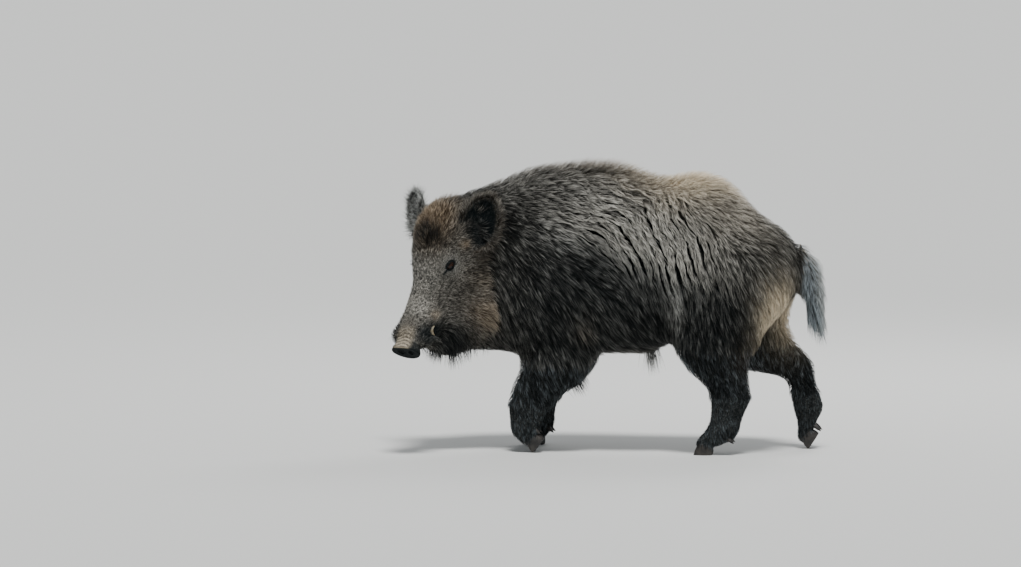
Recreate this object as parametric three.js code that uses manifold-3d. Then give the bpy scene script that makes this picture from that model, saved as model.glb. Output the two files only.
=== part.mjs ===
// An adult male wild boar (Sus scrofa), life size, walking with its head low and turned to its left.
// Millimetres, +Z up. It faces -X, so its left side is -Y. Every outline runs to the tips of the coat.
//
// The flesh is one smooth field: sections along the trunk, tapering limbs for neck, legs and tail, and the
// masses of the head in the head's own frame. The field is turned into closed meshes, fine where the form
// is fine, and parted with thin flat cuts. Eyes, tusks, ears and hooves are built as shapes of their own.
import * as THREE from "three";
import { mergeVertices } from "three/addons/utils/BufferGeometryUtils.js";
import Module from "manifold-3d";

const wasm = await Module();
wasm.setup();

// ---- Driving dimensions --------------------------------------------------------------------------------

const GAP = 0.3; // between two nodes that touch
const SECTION_POWER = 2.3; // 2 is an ellipse, more is squarer
const EGG = 0.16; // how much narrower the back is than the belly, as a share of the half width

// The trunk from chest to rump: x, height of the back, height of the belly, half width.
const TRUNK = [
  [-330, 776, 345, 140],
  [-250, 822, 306, 178],
  [-150, 856, 294, 196],
  [-30, 866, 291, 200],
  [50, 852, 288, 199],
  [115, 824, 286, 196],
  [185, 820, 328, 190],
  [290, 840, 352, 184],
  [360, 800, 352, 178],
  [430, 728, 372, 166],
  [520, 668, 428, 118],
];
const CHEST_REACH = 95; // the rounding in front of the first section
const RUMP_REACH = 48; // the rounding behind the last section

// The head's frame: its origin is midway between the eyes, "front" runs down the face to the snout.
const BETWEEN_EYES = [-522, -195, 577];
const HEAD_TURN = THREE.MathUtils.degToRad(63); // from straight ahead towards the boar's left
const HEAD_DIP = THREE.MathUtils.degToRad(61); // of the face below level
const FACE = 288; // eyes to the snout disc
const EYE_SPREAD = 61; // each eye's centre from the middle of the face
const EYE_DEPTH = -30; // eye's centre below the bridge of the nose
const EYE_RADIUS = 13.5;
const DISC = { wide: 45, high: 33, thick: 9, drop: -31 }; // half width, half height, half thickness
// A lower tusk runs through "sweep" degrees of a circle from the gum, leaning back and flaring out.
const TUSK = { root: 7.5, length: 52, sweep: 75, taper: 0.96, lean: 0.35, drift: 6, flare: 0.75 };
const TUSK_GUM = [206, 38, -86];
const TUSK_FLAT = 0.4; // how much thinner it is along the jaw than across it
const EAR = { length: 164, width: 116, thick: 10, sunk: 0.1, bend: 16 }; // sunk: the share below its root
const EAR_CURL = { root: 1.9, tip: 0.85 }; // half the angle that the leaf wraps round
// In the head's frame: the root, the way the ear rises, and the way its hollow opens.
const EARS = {
  left: { root: [-80, 104, -46], rise: [-0.93, 0.28, 0.24], open: [0.4, 0.57, 0.72] },
  right: { root: [-98, -70, -22], rise: [-0.9, -0.4, 0.2], open: [0.75, -0.25, 0.6] },
};

// part: from the foot's middle to a toe's middle; back: how far the top is set back from the sole;
// drawn and pointed: how much longer and narrower the toe is than the heel; heel: its share of the height.
const HOOF = { long: 54, wide: 25, high: 36, part: 14, back: 7, drawn: 0.12, pointed: 0.3, heel: 0.72 };
// From the sole up: share of the height, of the length and of the width.
const HOOF_RINGS = [
  [0, 1, 1],
  [0.45, 0.93, 0.97],
  [1, 0.72, 0.86],
];
const HOOF_COVER = 8; // how far the hair comes down over the horn
const TOE_SPLAY = 0.09;
const TIP_WORN = 3; // worn off the tip of a raised hoof, so that it stands on a small flat
const DEWCLAW = { long: 26, wide: 18, apart: 19, taper: 0.21, deep: 0.8 };
const DEWCLAW_REACH = [0.72, 0.3, -0.62]; // back, outwards and down

const HAIR = { grizzled: 0x4a4038, dark: 0x24211f, face: 0x3d3733, black: 0x161517 };
const HORN = 0x2b2622;
const IRIS = 0x2a1a10;
const IVORY = 0xd8c79a;
const SNOUT_SKIN = 0x4b423b;
const COAT_ROUGHNESS = 0.9;

// Cell sizes of the meshes, along x, y and z.
const CELL = {
  trunk: [71, 50, 54],
  head: [26.5, 26.5, 26.5],
  snout: [12.5, 12.5, 12.5],
  tail: [24, 20, 34],
  upperLeg: [32, 31, 39],
  lowerLeg: [23, 20, 31],
};
const SETTLE_STEPS = 3; // of a mesh's vertices onto the surface
const SETTLE_REACH = 0.6; // how far a vertex may move in all, as a share of its cell
const FLESH_CLEAR = 8; // no flesh reaches lower than this above the floor

// ---- Vectors and frames --------------------------------------------------------------------------------

const vec = (x, y, z) => new THREE.Vector3(x, y, z);
const lerp = THREE.MathUtils.lerp;
const clamp = THREE.MathUtils.clamp;
const steps = (n) => Array.from({ length: n + 1 }, (_, i) => i / n);
const turns = (n) => Array.from({ length: n }, (_, i) => (2 * Math.PI * i) / n);

const UP = vec(0, 0, 1);
const HEADING = vec(-Math.cos(HEAD_TURN), -Math.sin(HEAD_TURN), 0);
const FRONT = HEADING.clone().multiplyScalar(Math.cos(HEAD_DIP)).addScaledVector(UP, -Math.sin(HEAD_DIP));
const LEFT = UP.clone().cross(HEADING);
const TOP = FRONT.clone().cross(LEFT);
const EYES = vec(...BETWEEN_EYES);

// A point of the head from its distances along the face, to the left and up from the bridge of the nose.
function onHead(front, left, top) {
  return EYES.clone().addScaledVector(FRONT, front).addScaledVector(LEFT, left).addScaledVector(TOP, top);
}

function inHead(p) {
  const q = p.clone().sub(EYES);
  return { front: q.dot(FRONT), left: q.dot(LEFT), top: q.dot(TOP) };
}

// ---- Fields: below zero inside, roughly millimetres from the surface --------------------------------------

// A tapering limb with round ends, made narrower across one direction.
function limb(a, ra, b, rb, across = vec(0, 1, 0), narrow = 1) {
  const axis = b.clone().sub(a);
  const span = axis.lengthSq();
  const q = vec(0, 0, 0);
  return (p) => {
    q.copy(p).sub(a);
    const t = clamp(q.dot(axis) / span, 0, 1);
    q.addScaledVector(axis, -t);
    q.addScaledVector(across, q.dot(across) * (narrow - 1));
    return q.length() - lerp(ra, rb, t);
  };
}

// Joins fields with a fillet of about the given size.
function blend(size, ...fields) {
  return (p) => {
    let d = fields[0](p);
    for (let i = 1; i < fields.length; i++) {
      const e = fields[i](p);
      const h = Math.max(size - Math.abs(d - e), 0) / size;
      d = Math.min(d, e) - (h * h * size) / 4;
    }
    return d;
  };
}

// Takes the second field out of the first, with an eased edge.
function dent(size, body, hollow) {
  return (p) => {
    const d = body(p);
    const e = -hollow(p);
    const h = Math.max(size - Math.abs(d - e), 0) / size;
    return Math.max(d, e) + (h * h * size) / 4;
  };
}

// A chain of limbs through joints given as [x, z, radius] at one side distance.
function chain(side, narrow, joints) {
  const links = [];
  for (let i = 1; i < joints.length; i++) {
    const [xa, za, ra] = joints[i - 1];
    const [xb, zb, rb] = joints[i];
    links.push(limb(vec(xa, side, za), ra, vec(xb, side, zb), rb, vec(0, 1, 0), narrow));
  }
  return blend(18, ...links);
}

function trunkField() {
  const xs = TRUNK.map((s) => s[0]);
  const sections = new THREE.CubicInterpolant(xs, TRUNK.flatMap((s) => s.slice(1)), 3);
  const first = xs[0];
  const last = xs[xs.length - 1];
  return (p) => {
    const [back, belly, half] = sections.evaluate(clamp(p.x, first, last));
    const tall = (back - belly) / 2;
    const up = (p.z - (back + belly) / 2) / tall;
    const wide = half * (1 - EGG * clamp(up, -1, 1));
    const beyond = p.x < first ? (first - p.x) / CHEST_REACH : Math.max(p.x - last, 0) / RUMP_REACH;
    const shares = [Math.abs(p.y / wide), Math.abs(up), beyond];
    const sum = shares.reduce((total, share) => total + share ** SECTION_POWER, 0);
    return (sum ** (1 / SECTION_POWER) - 1) * half;
  };
}

function neckField() {
  return blend(
    50,
    limb(vec(-262, 0, 562), 156, vec(-372, -12, 562), 126, UP, 0.6), // neck and mane
    limb(vec(-372, -12, 562), 125, onHead(-84, 0, -104), 104, UP, 0.63), // nape
    limb(vec(-300, -10, 440), 128, vec(-408, -74, 408), 98), // dewlap
    limb(vec(-408, -74, 408), 98, vec(-462, -118, 372), 76), // ruff under the throat
  );
}

// Both sides of a mass of the head.
function paired(front1, left1, top1, r1, front2, left2, top2, r2) {
  return [-1, 1].map((side) =>
    limb(onHead(front1, side * left1, top1), r1, onHead(front2, side * left2, top2), r2),
  );
}

function headField() {
  return blend(
    24,
    limb(onHead(-90, 0, -46), 90, onHead(-22, 0, -42), 67), // brain case and forehead
    limb(onHead(-22, 0, -42), 67, onHead(20, 0, -46), 54), // bridge
    limb(onHead(20, 0, -46), 54, onHead(FACE - 46, 0, -38), 42), // muzzle
    ...paired(236, 28, -50, 33, 130, 26, -68, 36), // lips
    limb(onHead(50, 0, -112), 44, onHead(214, 0, -84), 27), // lower jaw
    ...paired(-70, 54, -98, 50, 42, 34, -74, 34), // cheek bones
    ...paired(-58, 46, -150, 72, 50, 22, -118, 46), // jowls
    ...paired(-26, 42, -6, 21, 14, 38, -12, 15), // brows
    limb(onHead(208, 0, -108), 22, onHead(100, 0, -160), 46), // chin
    limb(onHead(204, 0, -125), 24, onHead(200, 8, -172), 20), // beard
  );
}

function snoutField() {
  const disc = (p) => {
    const { front, left, top } = inHead(p);
    const round = Math.hypot(left / DISC.wide, (top - DISC.drop) / DISC.high);
    const flat = Math.abs(front - (FACE - DISC.thick)) - DISC.thick;
    return Math.max((round - 1) * DISC.high, flat);
  };
  return blend(9, disc, limb(onHead(FACE - 45, 0, -33), 37, onHead(FACE - 12, 0, -31), 36));
}

// Legs from the body down to the fetlock: joints as [x, z, radius]. Each ends in a foot, where "x" is the
// middle of the hooves, "tip" how far they stand up on their toes, and "claw" the dewclaws' place, [x, z].
const LEGS = {
  left_fore: {
    side: -112,
    narrow: 1.4,
    joints: [[-165, 430, 130], [-140, 285, 100], [-228, 168, 64], [-242, 84, 46]],
    foot: { x: -200, tip: 0.95, claw: [-204, 66] },
  },
  right_fore: {
    side: 112,
    narrow: 1.3,
    joints: [[-150, 430, 125], [-130, 285, 84], [-220, 160, 48], [-222, 72, 37]],
    foot: { x: -240, tip: 0, claw: [-192, 46] },
  },
  left_hind: {
    side: -112,
    narrow: 1.4,
    joints: [[390, 500, 160], [322, 335, 116], [376, 190, 58], [356, 84, 43]],
    foot: { x: 294, tip: 0, claw: [376, 44] },
  },
  right_hind: {
    side: 112,
    narrow: 1.4,
    joints: [[410, 500, 140], [425, 325, 98], [556, 246, 49], [586, 122, 41], [590, 76, 31]],
    foot: { x: 602, tip: 1, claw: [616, 62] },
  },
};

// The middle of the top edge of a foot's hooves, where flesh meets horn.
function coronet({ side, foot }) {
  const tilt = vec(-Math.sin(foot.tip), 0, Math.cos(foot.tip));
  const middle = vec(foot.x, side, (HOOF.long / 2) * Math.sin(foot.tip));
  return middle.addScaledVector(tilt, HOOF.high - HOOF_COVER);
}

function legField(leg) {
  const [x, z, radius] = leg.joints[leg.joints.length - 1];
  const pastern = limb(vec(x, leg.side, z), radius * 0.72, coronet(leg), HOOF.long / 2 - 1);
  return blend(20, chain(leg.side, leg.narrow, leg.joints), pastern);
}

const trunk = blend(70, trunkField(), neckField());
const orbits = paired(-6, 96, EYE_DEPTH, 37, 8, 96, EYE_DEPTH, 36);
const head = dent(8, headField(), blend(1, ...orbits));
const body = blend(45, blend(60, trunk, head), ...Object.values(LEGS).map(legField));

// ---- Fields to closed meshes -----------------------------------------------------------------------------

const CORNERS = [0, 1, 2, 3, 4, 5, 6, 7].map((n) => [n & 1, (n >> 1) & 1, (n >> 2) & 1]);
const AXES = [0, 1, 2];
const stepped = (at, axis, by = 1) => at.map((v, i) => (i === axis ? v + by : v));
const CELL_EDGES = CORNERS.flatMap((a) => AXES.filter((n) => a[n] === 0).map((n) => [a, stepped(a, n)]));

// The field's values on a lattice of points. Its own border counts as outside, so every mesh is closed.
function lattice(field, low, high, cell) {
  const count = AXES.map((n) => Math.ceil((high[n] - low[n]) / cell[n]) + 1);
  const index = ([i, j, k]) => (k * count[1] + j) * count[0] + i;
  const point = (at) => vec(...AXES.map((n) => low[n] + at[n] * cell[n]));
  const border = (at) => AXES.some((n) => at[n] === 0 || at[n] === count[n] - 1);
  const all = [];
  for (let k = 0; k < count[2]; k++)
    for (let j = 0; j < count[1]; j++) for (let i = 0; i < count[0]; i++) all.push([i, j, k]);
  const values = all.map((at) => (border(at) ? cell[0] : field(point(at))));
  return { all, count, index, point, border, value: (at) => values[index(at)] };
}

// Where the surface runs through a cell: the middle of its crossings, settled onto the field.
function cellPoint(field, grid, at, reach) {
  const sum = vec(0, 0, 0);
  let found = 0;
  let edge = false;
  for (const ends of CELL_EDGES) {
    const [a, b] = ends.map((end) => end.map((v, n) => v + at[n]));
    edge ||= grid.border(a) || grid.border(b);
    if (grid.value(a) < 0 === grid.value(b) < 0) continue;
    sum.add(grid.point(a).lerp(grid.point(b), grid.value(a) / (grid.value(a) - grid.value(b))));
    found++;
  }
  sum.divideScalar(found);
  return edge ? sum : settle(field, sum, reach);
}

// One vertex in each cell that the surface crosses, one square across each lattice edge that it crosses.
function meshOf(field, low, high, cell) {
  const grid = lattice(field, low, high, cell);
  const vertices = [];
  const vertexOf = new Map();
  const vertex = (at) => {
    const key = grid.index(at);
    if (!vertexOf.has(key)) {
      vertexOf.set(key, vertices.length);
      vertices.push(cellPoint(field, grid, at, Math.min(...cell)));
    }
    return vertexOf.get(key);
  };
  const triangles = [];
  for (const at of grid.all)
    for (const axis of AXES) {
      const inside = grid.value(at) < 0;
      if (at[axis] === grid.count[axis] - 1 || inside === grid.value(stepped(at, axis)) < 0) continue;
      const [b, c] = [(axis + 1) % 3, (axis + 2) % 3];
      const cells = [stepped(stepped(at, b, -1), c, -1), stepped(at, c, -1), at, stepped(at, b, -1)];
      const ring = (inside ? cells : cells.reverse()).map(vertex);
      const [p, q, r, s] = ring.map((n) => vertices[n]);
      const cut = p.distanceTo(r) < q.distanceTo(s) ? [0, 1, 2, 0, 2, 3] : [1, 2, 3, 1, 3, 0];
      triangles.push(...cut.map((n) => ring[n]));
    }
  return solidFrom(vertices.flatMap((v) => v.toArray()), triangles);
}

// Moves a vertex onto the surface by a few short steps along the field's slope.
function settle(field, start, reach) {
  const p = start.clone();
  for (let step = 0; step < SETTLE_STEPS; step++) {
    const value = field(p);
    const slope = vec(
      field(vec(p.x + 1, p.y, p.z)) - value,
      field(vec(p.x, p.y + 1, p.z)) - value,
      field(vec(p.x, p.y, p.z + 1)) - value,
    );
    const steep = Math.max(slope.lengthSq(), 0.05);
    p.addScaledVector(slope, clamp(-value / steep, -reach, reach));
  }
  const moved = p.distanceTo(start);
  const most = SETTLE_REACH * reach;
  return moved < most ? p : start.clone().lerp(p, most / moved);
}

// ---- Solids ----------------------------------------------------------------------------------------------

function solidFrom(positions, triangles) {
  const vertProperties = new Float32Array(positions);
  const triVerts = new Uint32Array(triangles);
  return new wasm.Manifold(new wasm.Mesh({ numProp: 3, vertProperties, triVerts }));
}

function solidOf(geometry) {
  geometry.deleteAttribute("normal");
  geometry.deleteAttribute("uv");
  const merged = mergeVertices(geometry, 1e-3);
  return solidFrom(merged.attributes.position.array, merged.index.array);
}

function geometryOf(solid) {
  const mesh = solid.getMesh();
  const geometry = new THREE.BufferGeometry();
  geometry.setAttribute("position", new THREE.BufferAttribute(new Float32Array(mesh.vertProperties), 3));
  geometry.setIndex(new THREE.BufferAttribute(new Uint32Array(mesh.triVerts), 1));
  geometry.computeVertexNormals();
  return geometry;
}

// The room that a solid takes up together with the gap round it. At a sharp edge a face moves out by less
// than its vertices do, so they move by twice the gap.
function roomOf(solid) {
  const geometry = geometryOf(solid);
  const { position, normal } = geometry.attributes;
  const out = position.array.map((v, i) => v + 2 * GAP * normal.array[i]);
  return solidFrom(out, geometry.index.array);
}

// The largest body of a cut solid, without the slivers that a cut can leave.
function largest(solid) {
  const bodies = solidOf(geometryOf(solid)).decompose();
  return bodies.sort((a, b) => b.volume() - a.volume())[0];
}

// All space on one side of a plane, less half a gap.
function sideOf(point, normal) {
  const size = 3000;
  const facing = normal.clone().normalize();
  const turn = new THREE.Quaternion().setFromUnitVectors(vec(0, 0, 1), facing);
  const box = new THREE.BoxGeometry(size, size, size).translate(0, 0, size / 2 + GAP / 2);
  return solidOf(box.applyQuaternion(turn).translate(point.x, point.y, point.z));
}

// A closed skin over rings of points, each end closed to a point in its middle.
function loft(rings) {
  const sides = rings[0].length;
  const middle = (ring) => ring.reduce((sum, p) => sum.add(p), vec(0, 0, 0)).divideScalar(sides);
  const points = [...rings.flat(), middle(rings[0]), middle(rings[rings.length - 1])];
  const [first, last] = [points.length - 2, points.length - 1];
  const top = (rings.length - 1) * sides;
  const triangles = [];
  for (let s = 0; s < sides; s++) {
    const next = (s + 1) % sides;
    triangles.push(first, next, s, last, top + s, top + next);
    for (let low = 0; low < top; low += sides) {
      const high = low + sides;
      triangles.push(low + s, low + next, high + next, low + s, high + next, high + s);
    }
  }
  const positions = points.flatMap((p) => p.toArray());
  const solid = solidFrom(positions, triangles);
  return solid.volume() > 0 ? solid : solidFrom(positions, triangles.reverse());
}

// ---- Ears ------------------------------------------------------------------------------------------------

const EAR_ROWS = 6;
const EAR_SPLITS = 6;

// A cupped leaf that closes to a tube near its root.
function ear({ root, rise, open }) {
  const base = onHead(...root);
  const up = onHead(...rise).sub(EYES).normalize();
  const hollow = onHead(...open).sub(EYES);
  const face = hollow.addScaledVector(up, -hollow.dot(up)).normalize();
  const across = up.clone().cross(face);
  // u runs from root to tip, v from edge to edge, off is the distance from the leaf's middle surface.
  const surface = (u, v, off) => {
    const half = (EAR.width / 2) * Math.sqrt(Math.sin(Math.PI * lerp(0.1, 0.985, u)));
    const curl = lerp(EAR_CURL.root, EAR_CURL.tip, Math.sqrt(u));
    const bow = half / Math.sin(Math.min(curl, Math.PI / 2));
    return base
      .clone()
      .addScaledVector(up, EAR.length * (u - EAR.sunk))
      .addScaledVector(across, (bow + off) * Math.sin(curl * v))
      .addScaledVector(face, bow * 0.5 - (bow * 0.8 + off) * Math.cos(curl * v) - EAR.bend * u * u);
  };
  const splits = steps(EAR_SPLITS).map((v) => 2 * v - 1);
  const ring = (u) => [
    ...splits.map((v) => surface(u, v, EAR.thick / 2)),
    ...splits.toReversed().map((v) => surface(u, v, -EAR.thick / 2)),
  ];
  return loft(steps(EAR_ROWS).map(ring));
}

// ---- Tusks, hooves and dewclaws --------------------------------------------------------------------------

const TUSK_ROWS = 5;
const TUSK_SIDES = 8;

// A lower tusk curves up, out and back from the lip.
function tusk(side) {
  const [front, left, top] = TUSK_GUM;
  const sweep = THREE.MathUtils.degToRad(TUSK.sweep);
  const radius = TUSK.length / sweep;
  const ring = (t) => {
    const thick = TUSK.root * Math.sqrt(1 - t * TUSK.taper);
    const [rise, run] = [Math.sin(sweep * t), Math.cos(sweep * t)];
    return turns(TUSK_SIDES).map((a) => {
      const reach = radius + thick * Math.cos(a);
      const out = radius - reach * run;
      return onHead(
        front - TUSK.lean * out - TUSK.drift * t + TUSK_FLAT * thick * Math.sin(a),
        side * (left + TUSK.flare * out),
        top + (reach + thick * Math.sin(a)) * rise,
      );
    });
  };
  return loft(steps(TUSK_ROWS).map(ring));
}

// One toe of a foot, standing on the floor: "toe" is -1 or 1 for its side.
function hoof({ side, foot }, toe) {
  const rings = HOOF_RINGS.map(([rise, length, width]) =>
    turns(10).map((a) => {
      const forward = Math.max(Math.cos(a), 0);
      const along = (HOOF.long / 2) * length * (1 + HOOF.drawn * forward) * Math.cos(a) - HOOF.back * rise;
      const across = (HOOF.wide / 2) * width * Math.sin(a) * (1 - HOOF.pointed * forward);
      return vec(along, across, rise * HOOF.high * lerp(HOOF.heel, 1, (1 + Math.cos(a)) / 2));
    }),
  );
  const turn = new THREE.Matrix4().makeRotationZ(Math.PI - toe * TOE_SPLAY);
  turn.multiply(new THREE.Matrix4().makeRotationY(foot.tip));
  const turned = rings.map((ring) => ring.map((p) => p.applyMatrix4(turn)));
  const lowest = Math.min(...turned.flat().map((p) => p.z));
  const sunk = foot.tip > 0 ? TIP_WORN : 0;
  const shift = vec(foot.x, side + toe * HOOF.part, -lowest - sunk);
  return loft(turned.map((ring) => ring.map((p) => p.add(shift))));
}

function dewclaw({ side, foot }, toe) {
  const [x, z] = foot.claw;
  const start = vec(x, side + toe * DEWCLAW.apart, z);
  const [back, out, down] = DEWCLAW_REACH;
  const reach = vec(back, toe * out, down).normalize();
  const across = reach.clone().cross(UP).normalize();
  const upward = across.clone().cross(reach);
  const rings = [0, 1, 2].map((r) => {
    const wide = (DEWCLAW.wide / 2) * (1 - DEWCLAW.taper * r * r);
    const middle = start.clone().addScaledVector(reach, DEWCLAW.long * (r / 2 - 0.5));
    return turns(6).map((a) => {
      const rim = middle.clone().addScaledVector(across, wide * Math.cos(a));
      return rim.addScaledVector(upward, DEWCLAW.deep * wide * Math.sin(a));
    });
  });
  return loft(rings);
}

// ---- The model -------------------------------------------------------------------------------------------

const boar = new THREE.Group();

function place(name, solid, color, roughness = COAT_ROUGHNESS) {
  const mesh = new THREE.Mesh(
    geometryOf(solid),
    new THREE.MeshStandardMaterial({ color, roughness, metalness: 0, flatShading: true }),
  );
  mesh.name = name;
  boar.add(mesh);
}

const NECK_CUT = { point: vec(-432, -112, 600), normal: vec(-0.52, -0.84, -0.1) };
const SHOULDER_CUT = { point: vec(-300, 0, 560), normal: vec(-0.97, -0.1, 0.2) };
const CHEST_CUT = { point: vec(-20, 0, 500), normal: vec(-1, 0, 0) };
const LOIN_CUT = { point: vec(195, 0, 500), normal: vec(-1, 0, 0) };
const SNOUT_CUT = { point: onHead(FACE - 30, 0, 0), normal: FRONT };
const DOCK_CUT = { point: vec(566, 0, 0), normal: vec(-1, 0, 0) };
const TAIL_CUT = 480; // height of the top of the tail's tuft
const LEG_CUTS = {
  fore: { top: 288, knee: 150, from: -360, to: 10 },
  hind: { top: 338, knee: 178, from: 180, to: 680 },
};

const before = ({ point, normal }) => sideOf(point, normal);
const behind = ({ point, normal }) => sideOf(point, normal.clone().negate());
const above = (z) => sideOf(vec(0, 0, z), UP);
const below = (z) => sideOf(vec(0, 0, z), UP.clone().negate());

const whole = meshOf(body, [-700, -260, 200], [640, 260, 900], CELL.trunk);

function buildTrunk() {
  const all = whole.intersect(behind(NECK_CUT));
  place("neck", all.intersect(before(SHOULDER_CUT)), HAIR.grizzled);
  const rear = all.intersect(behind(SHOULDER_CUT));
  place("chest", rear.intersect(before(CHEST_CUT)).intersect(above(LEG_CUTS.fore.top)), HAIR.grizzled);
  place("barrel", rear.intersect(behind(CHEST_CUT)).intersect(before(LOIN_CUT)), HAIR.grizzled);
  place("hindquarters", rear.intersect(behind(LOIN_CUT)).intersect(above(LEG_CUTS.hind.top)), HAIR.grizzled);
}

function buildHead() {
  const uncut = meshOf(body, [-720, -480, 230], [-300, 120, 790], CELL.head);
  const taken = roomOf(uncut).add(roomOf(whole).intersect(behind(NECK_CUT)));
  let skull = uncut.intersect(before(NECK_CUT)).intersect(behind(SNOUT_CUT));
  for (const [name, side] of [["right", -1], ["left", 1]]) {
    const middle = onHead(0, side * EYE_SPREAD, EYE_DEPTH);
    const ball = new THREE.SphereGeometry(EYE_RADIUS, 10, 7).translate(middle.x, middle.y, middle.z);
    const eye = solidOf(ball);
    const tooth = tusk(side);
    skull = skull.subtract(roomOf(eye)).subtract(roomOf(tooth));
    place(name + "_ear", largest(ear(EARS[name]).subtract(taken)), HAIR.dark);
    place(name + "_eye", eye, IRIS, 0.15);
    place(name + "_tusk", tooth, IVORY, 0.4);
  }
  place("head", skull, HAIR.face);
}

function buildSnout() {
  const reach = 75;
  const tip = onHead(FACE - 10, 0, DISC.drop).toArray();
  const nose = meshOf(snoutField(), tip.map((v) => v - reach), tip.map((v) => v + reach), CELL.snout);
  place("snout", nose.intersect(before(SNOUT_CUT)), SNOUT_SKIN, 0.6);
}

// Joints of the tail from its dock to the tip of its tuft: [x, z, radius].
const TAIL = [[558, 612, 26], [592, 560, 34], [603, 490, 38], [615, 430, 32], [642, 396, 12]];

function buildTail() {
  const hanging = meshOf(chain(0, 1.15, TAIL), [480, -90, 340], [740, 90, 700], CELL.tail);
  const clear = hanging.subtract(roomOf(whole)).intersect(behind(DOCK_CUT));
  place("tail", clear.intersect(above(TAIL_CUT)), HAIR.dark);
  place("tail_tuft", clear.intersect(below(TAIL_CUT)), HAIR.black);
}

// The flesh of a leg between two heights, from the part of the body on the leg's own side.
function legFlesh(side, { from, to }, low, high, cell) {
  const [right, left] = side > 0 ? [0, 240] : [-240, 0];
  const mesh = meshOf(body, [from, right, low - 50], [to, left, high + 50], cell);
  return mesh.intersect(above(low)).intersect(below(high));
}

function buildLeg(name) {
  const leg = LEGS[name];
  const cuts = LEG_CUTS[name.endsWith("fore") ? "fore" : "hind"];
  place(name + "_upper", legFlesh(leg.side, cuts, cuts.knee, cuts.top, CELL.upperLeg), HAIR.dark);
  const lean = vec(-Math.sin(leg.foot.tip), 0, Math.cos(leg.foot.tip));
  const shank = legFlesh(leg.side, cuts, FLESH_CLEAR, cuts.knee, CELL.lowerLeg);
  let lower = shank.intersect(sideOf(coronet(leg), lean));
  for (const toe of [-1, 1]) {
    const side = toe * leg.side > 0 ? "outer" : "inner";
    const horn = { hoof: hoof(leg, toe), dewclaw: dewclaw(leg, toe) };
    lower = lower.subtract(roomOf(horn.hoof)).subtract(roomOf(horn.dewclaw));
    place(`${name}_hoof_${side}`, horn.hoof.intersect(above(-GAP / 2)), HORN, 0.5);
    place(`${name}_dewclaw_${side}`, horn.dewclaw, HORN, 0.5);
  }
  place(name + "_lower", lower, HAIR.black);
}

buildHead();
buildSnout();
buildTrunk();
buildTail();
for (const name of Object.keys(LEGS)) buildLeg(name);

// The origin stands on the floor under the middle of the model.
const box = new THREE.Box3().setFromObject(boar);
boar.position.set(-(box.min.x + box.max.x) / 2, -(box.min.y + box.max.y) / 2, -box.min.z);

export default boar;
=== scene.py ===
"""A still, life-size wild boar: one skin over the whole body with the coat on it, eyes, tusks and hooves."""
import math

import bmesh
import bpy
import numpy as np
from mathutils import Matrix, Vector
from mathutils.bvhtree import BVHTree
from mathutils.kdtree import KDTree


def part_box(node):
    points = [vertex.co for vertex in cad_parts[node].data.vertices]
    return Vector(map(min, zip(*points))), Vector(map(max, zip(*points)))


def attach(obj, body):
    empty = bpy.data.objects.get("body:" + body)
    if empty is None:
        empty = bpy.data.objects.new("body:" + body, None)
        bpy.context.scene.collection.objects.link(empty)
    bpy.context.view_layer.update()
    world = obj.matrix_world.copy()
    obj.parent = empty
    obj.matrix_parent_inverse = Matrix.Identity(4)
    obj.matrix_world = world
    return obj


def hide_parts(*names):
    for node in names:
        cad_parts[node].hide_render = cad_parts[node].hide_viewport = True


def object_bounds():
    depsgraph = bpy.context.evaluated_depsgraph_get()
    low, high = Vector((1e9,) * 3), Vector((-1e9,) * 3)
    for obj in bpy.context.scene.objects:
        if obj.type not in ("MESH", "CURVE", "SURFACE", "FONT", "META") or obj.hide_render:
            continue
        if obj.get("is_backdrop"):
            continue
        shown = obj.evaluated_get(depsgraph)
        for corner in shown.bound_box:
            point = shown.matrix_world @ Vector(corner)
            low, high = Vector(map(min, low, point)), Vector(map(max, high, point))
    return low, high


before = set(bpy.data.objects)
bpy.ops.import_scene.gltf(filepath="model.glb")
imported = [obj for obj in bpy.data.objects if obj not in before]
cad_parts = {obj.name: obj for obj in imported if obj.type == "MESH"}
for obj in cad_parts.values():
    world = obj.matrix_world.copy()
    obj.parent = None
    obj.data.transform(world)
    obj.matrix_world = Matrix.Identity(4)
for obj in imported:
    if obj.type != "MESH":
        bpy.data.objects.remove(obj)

cad_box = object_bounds()
rng = np.random.default_rng(7)
MM = 0.001
SIDES = {"left": 1, "right": -1}
UP = Vector((0, 0, 1))


# ---- Places on the animal ------------------------------------------------------------------------------

def centre(node):
    low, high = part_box(node)
    return (low + high) / 2


LEGS = ("left_fore", "right_fore", "left_hind", "right_hind")
FLESH = ["head", "snout", "left_ear", "right_ear", "neck", "chest", "barrel", "hindquarters"]
FLESH += ["tail", "tail_tuft"] + [leg + length for leg in LEGS for length in ("_upper", "_lower")]

HORN = sorted(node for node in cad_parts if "hoof" in node or "dewclaw" in node)
TRUNK_MIDDLE = centre("barrel").y  # the plane that parts the trunk's left from its right

# The head's frame starts on the bridge of the nose between the eyes. Its axes are "front", down the face to
# the snout, "left", and "top", up off the face. Places on the head are in millimetres along them.
EYE = {side: centre(side + "_eye") for side in SIDES}
EYE_RADIUS = 13.5
BRIDGE_OVER_EYES = 30
HEAD_DIP = math.radians(61)
LEFT = (EYE["left"] - EYE["right"]).normalized()
HEADING = LEFT.cross(UP)
FRONT = HEADING * math.cos(HEAD_DIP) - UP * math.sin(HEAD_DIP)
TOP = FRONT.cross(LEFT)
BRIDGE = (EYE["left"] + EYE["right"]) / 2 + TOP * BRIDGE_OVER_EYES * MM
HEAD = np.array([FRONT, LEFT, TOP])
DISC_FRONT = 288  # from the eyes to the face of the snout disc
DISC_HEIGHT = -31  # of the disc's middle


def on_head(front, left, top):
    return BRIDGE + (FRONT * front + LEFT * left + TOP * top) * MM


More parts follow.
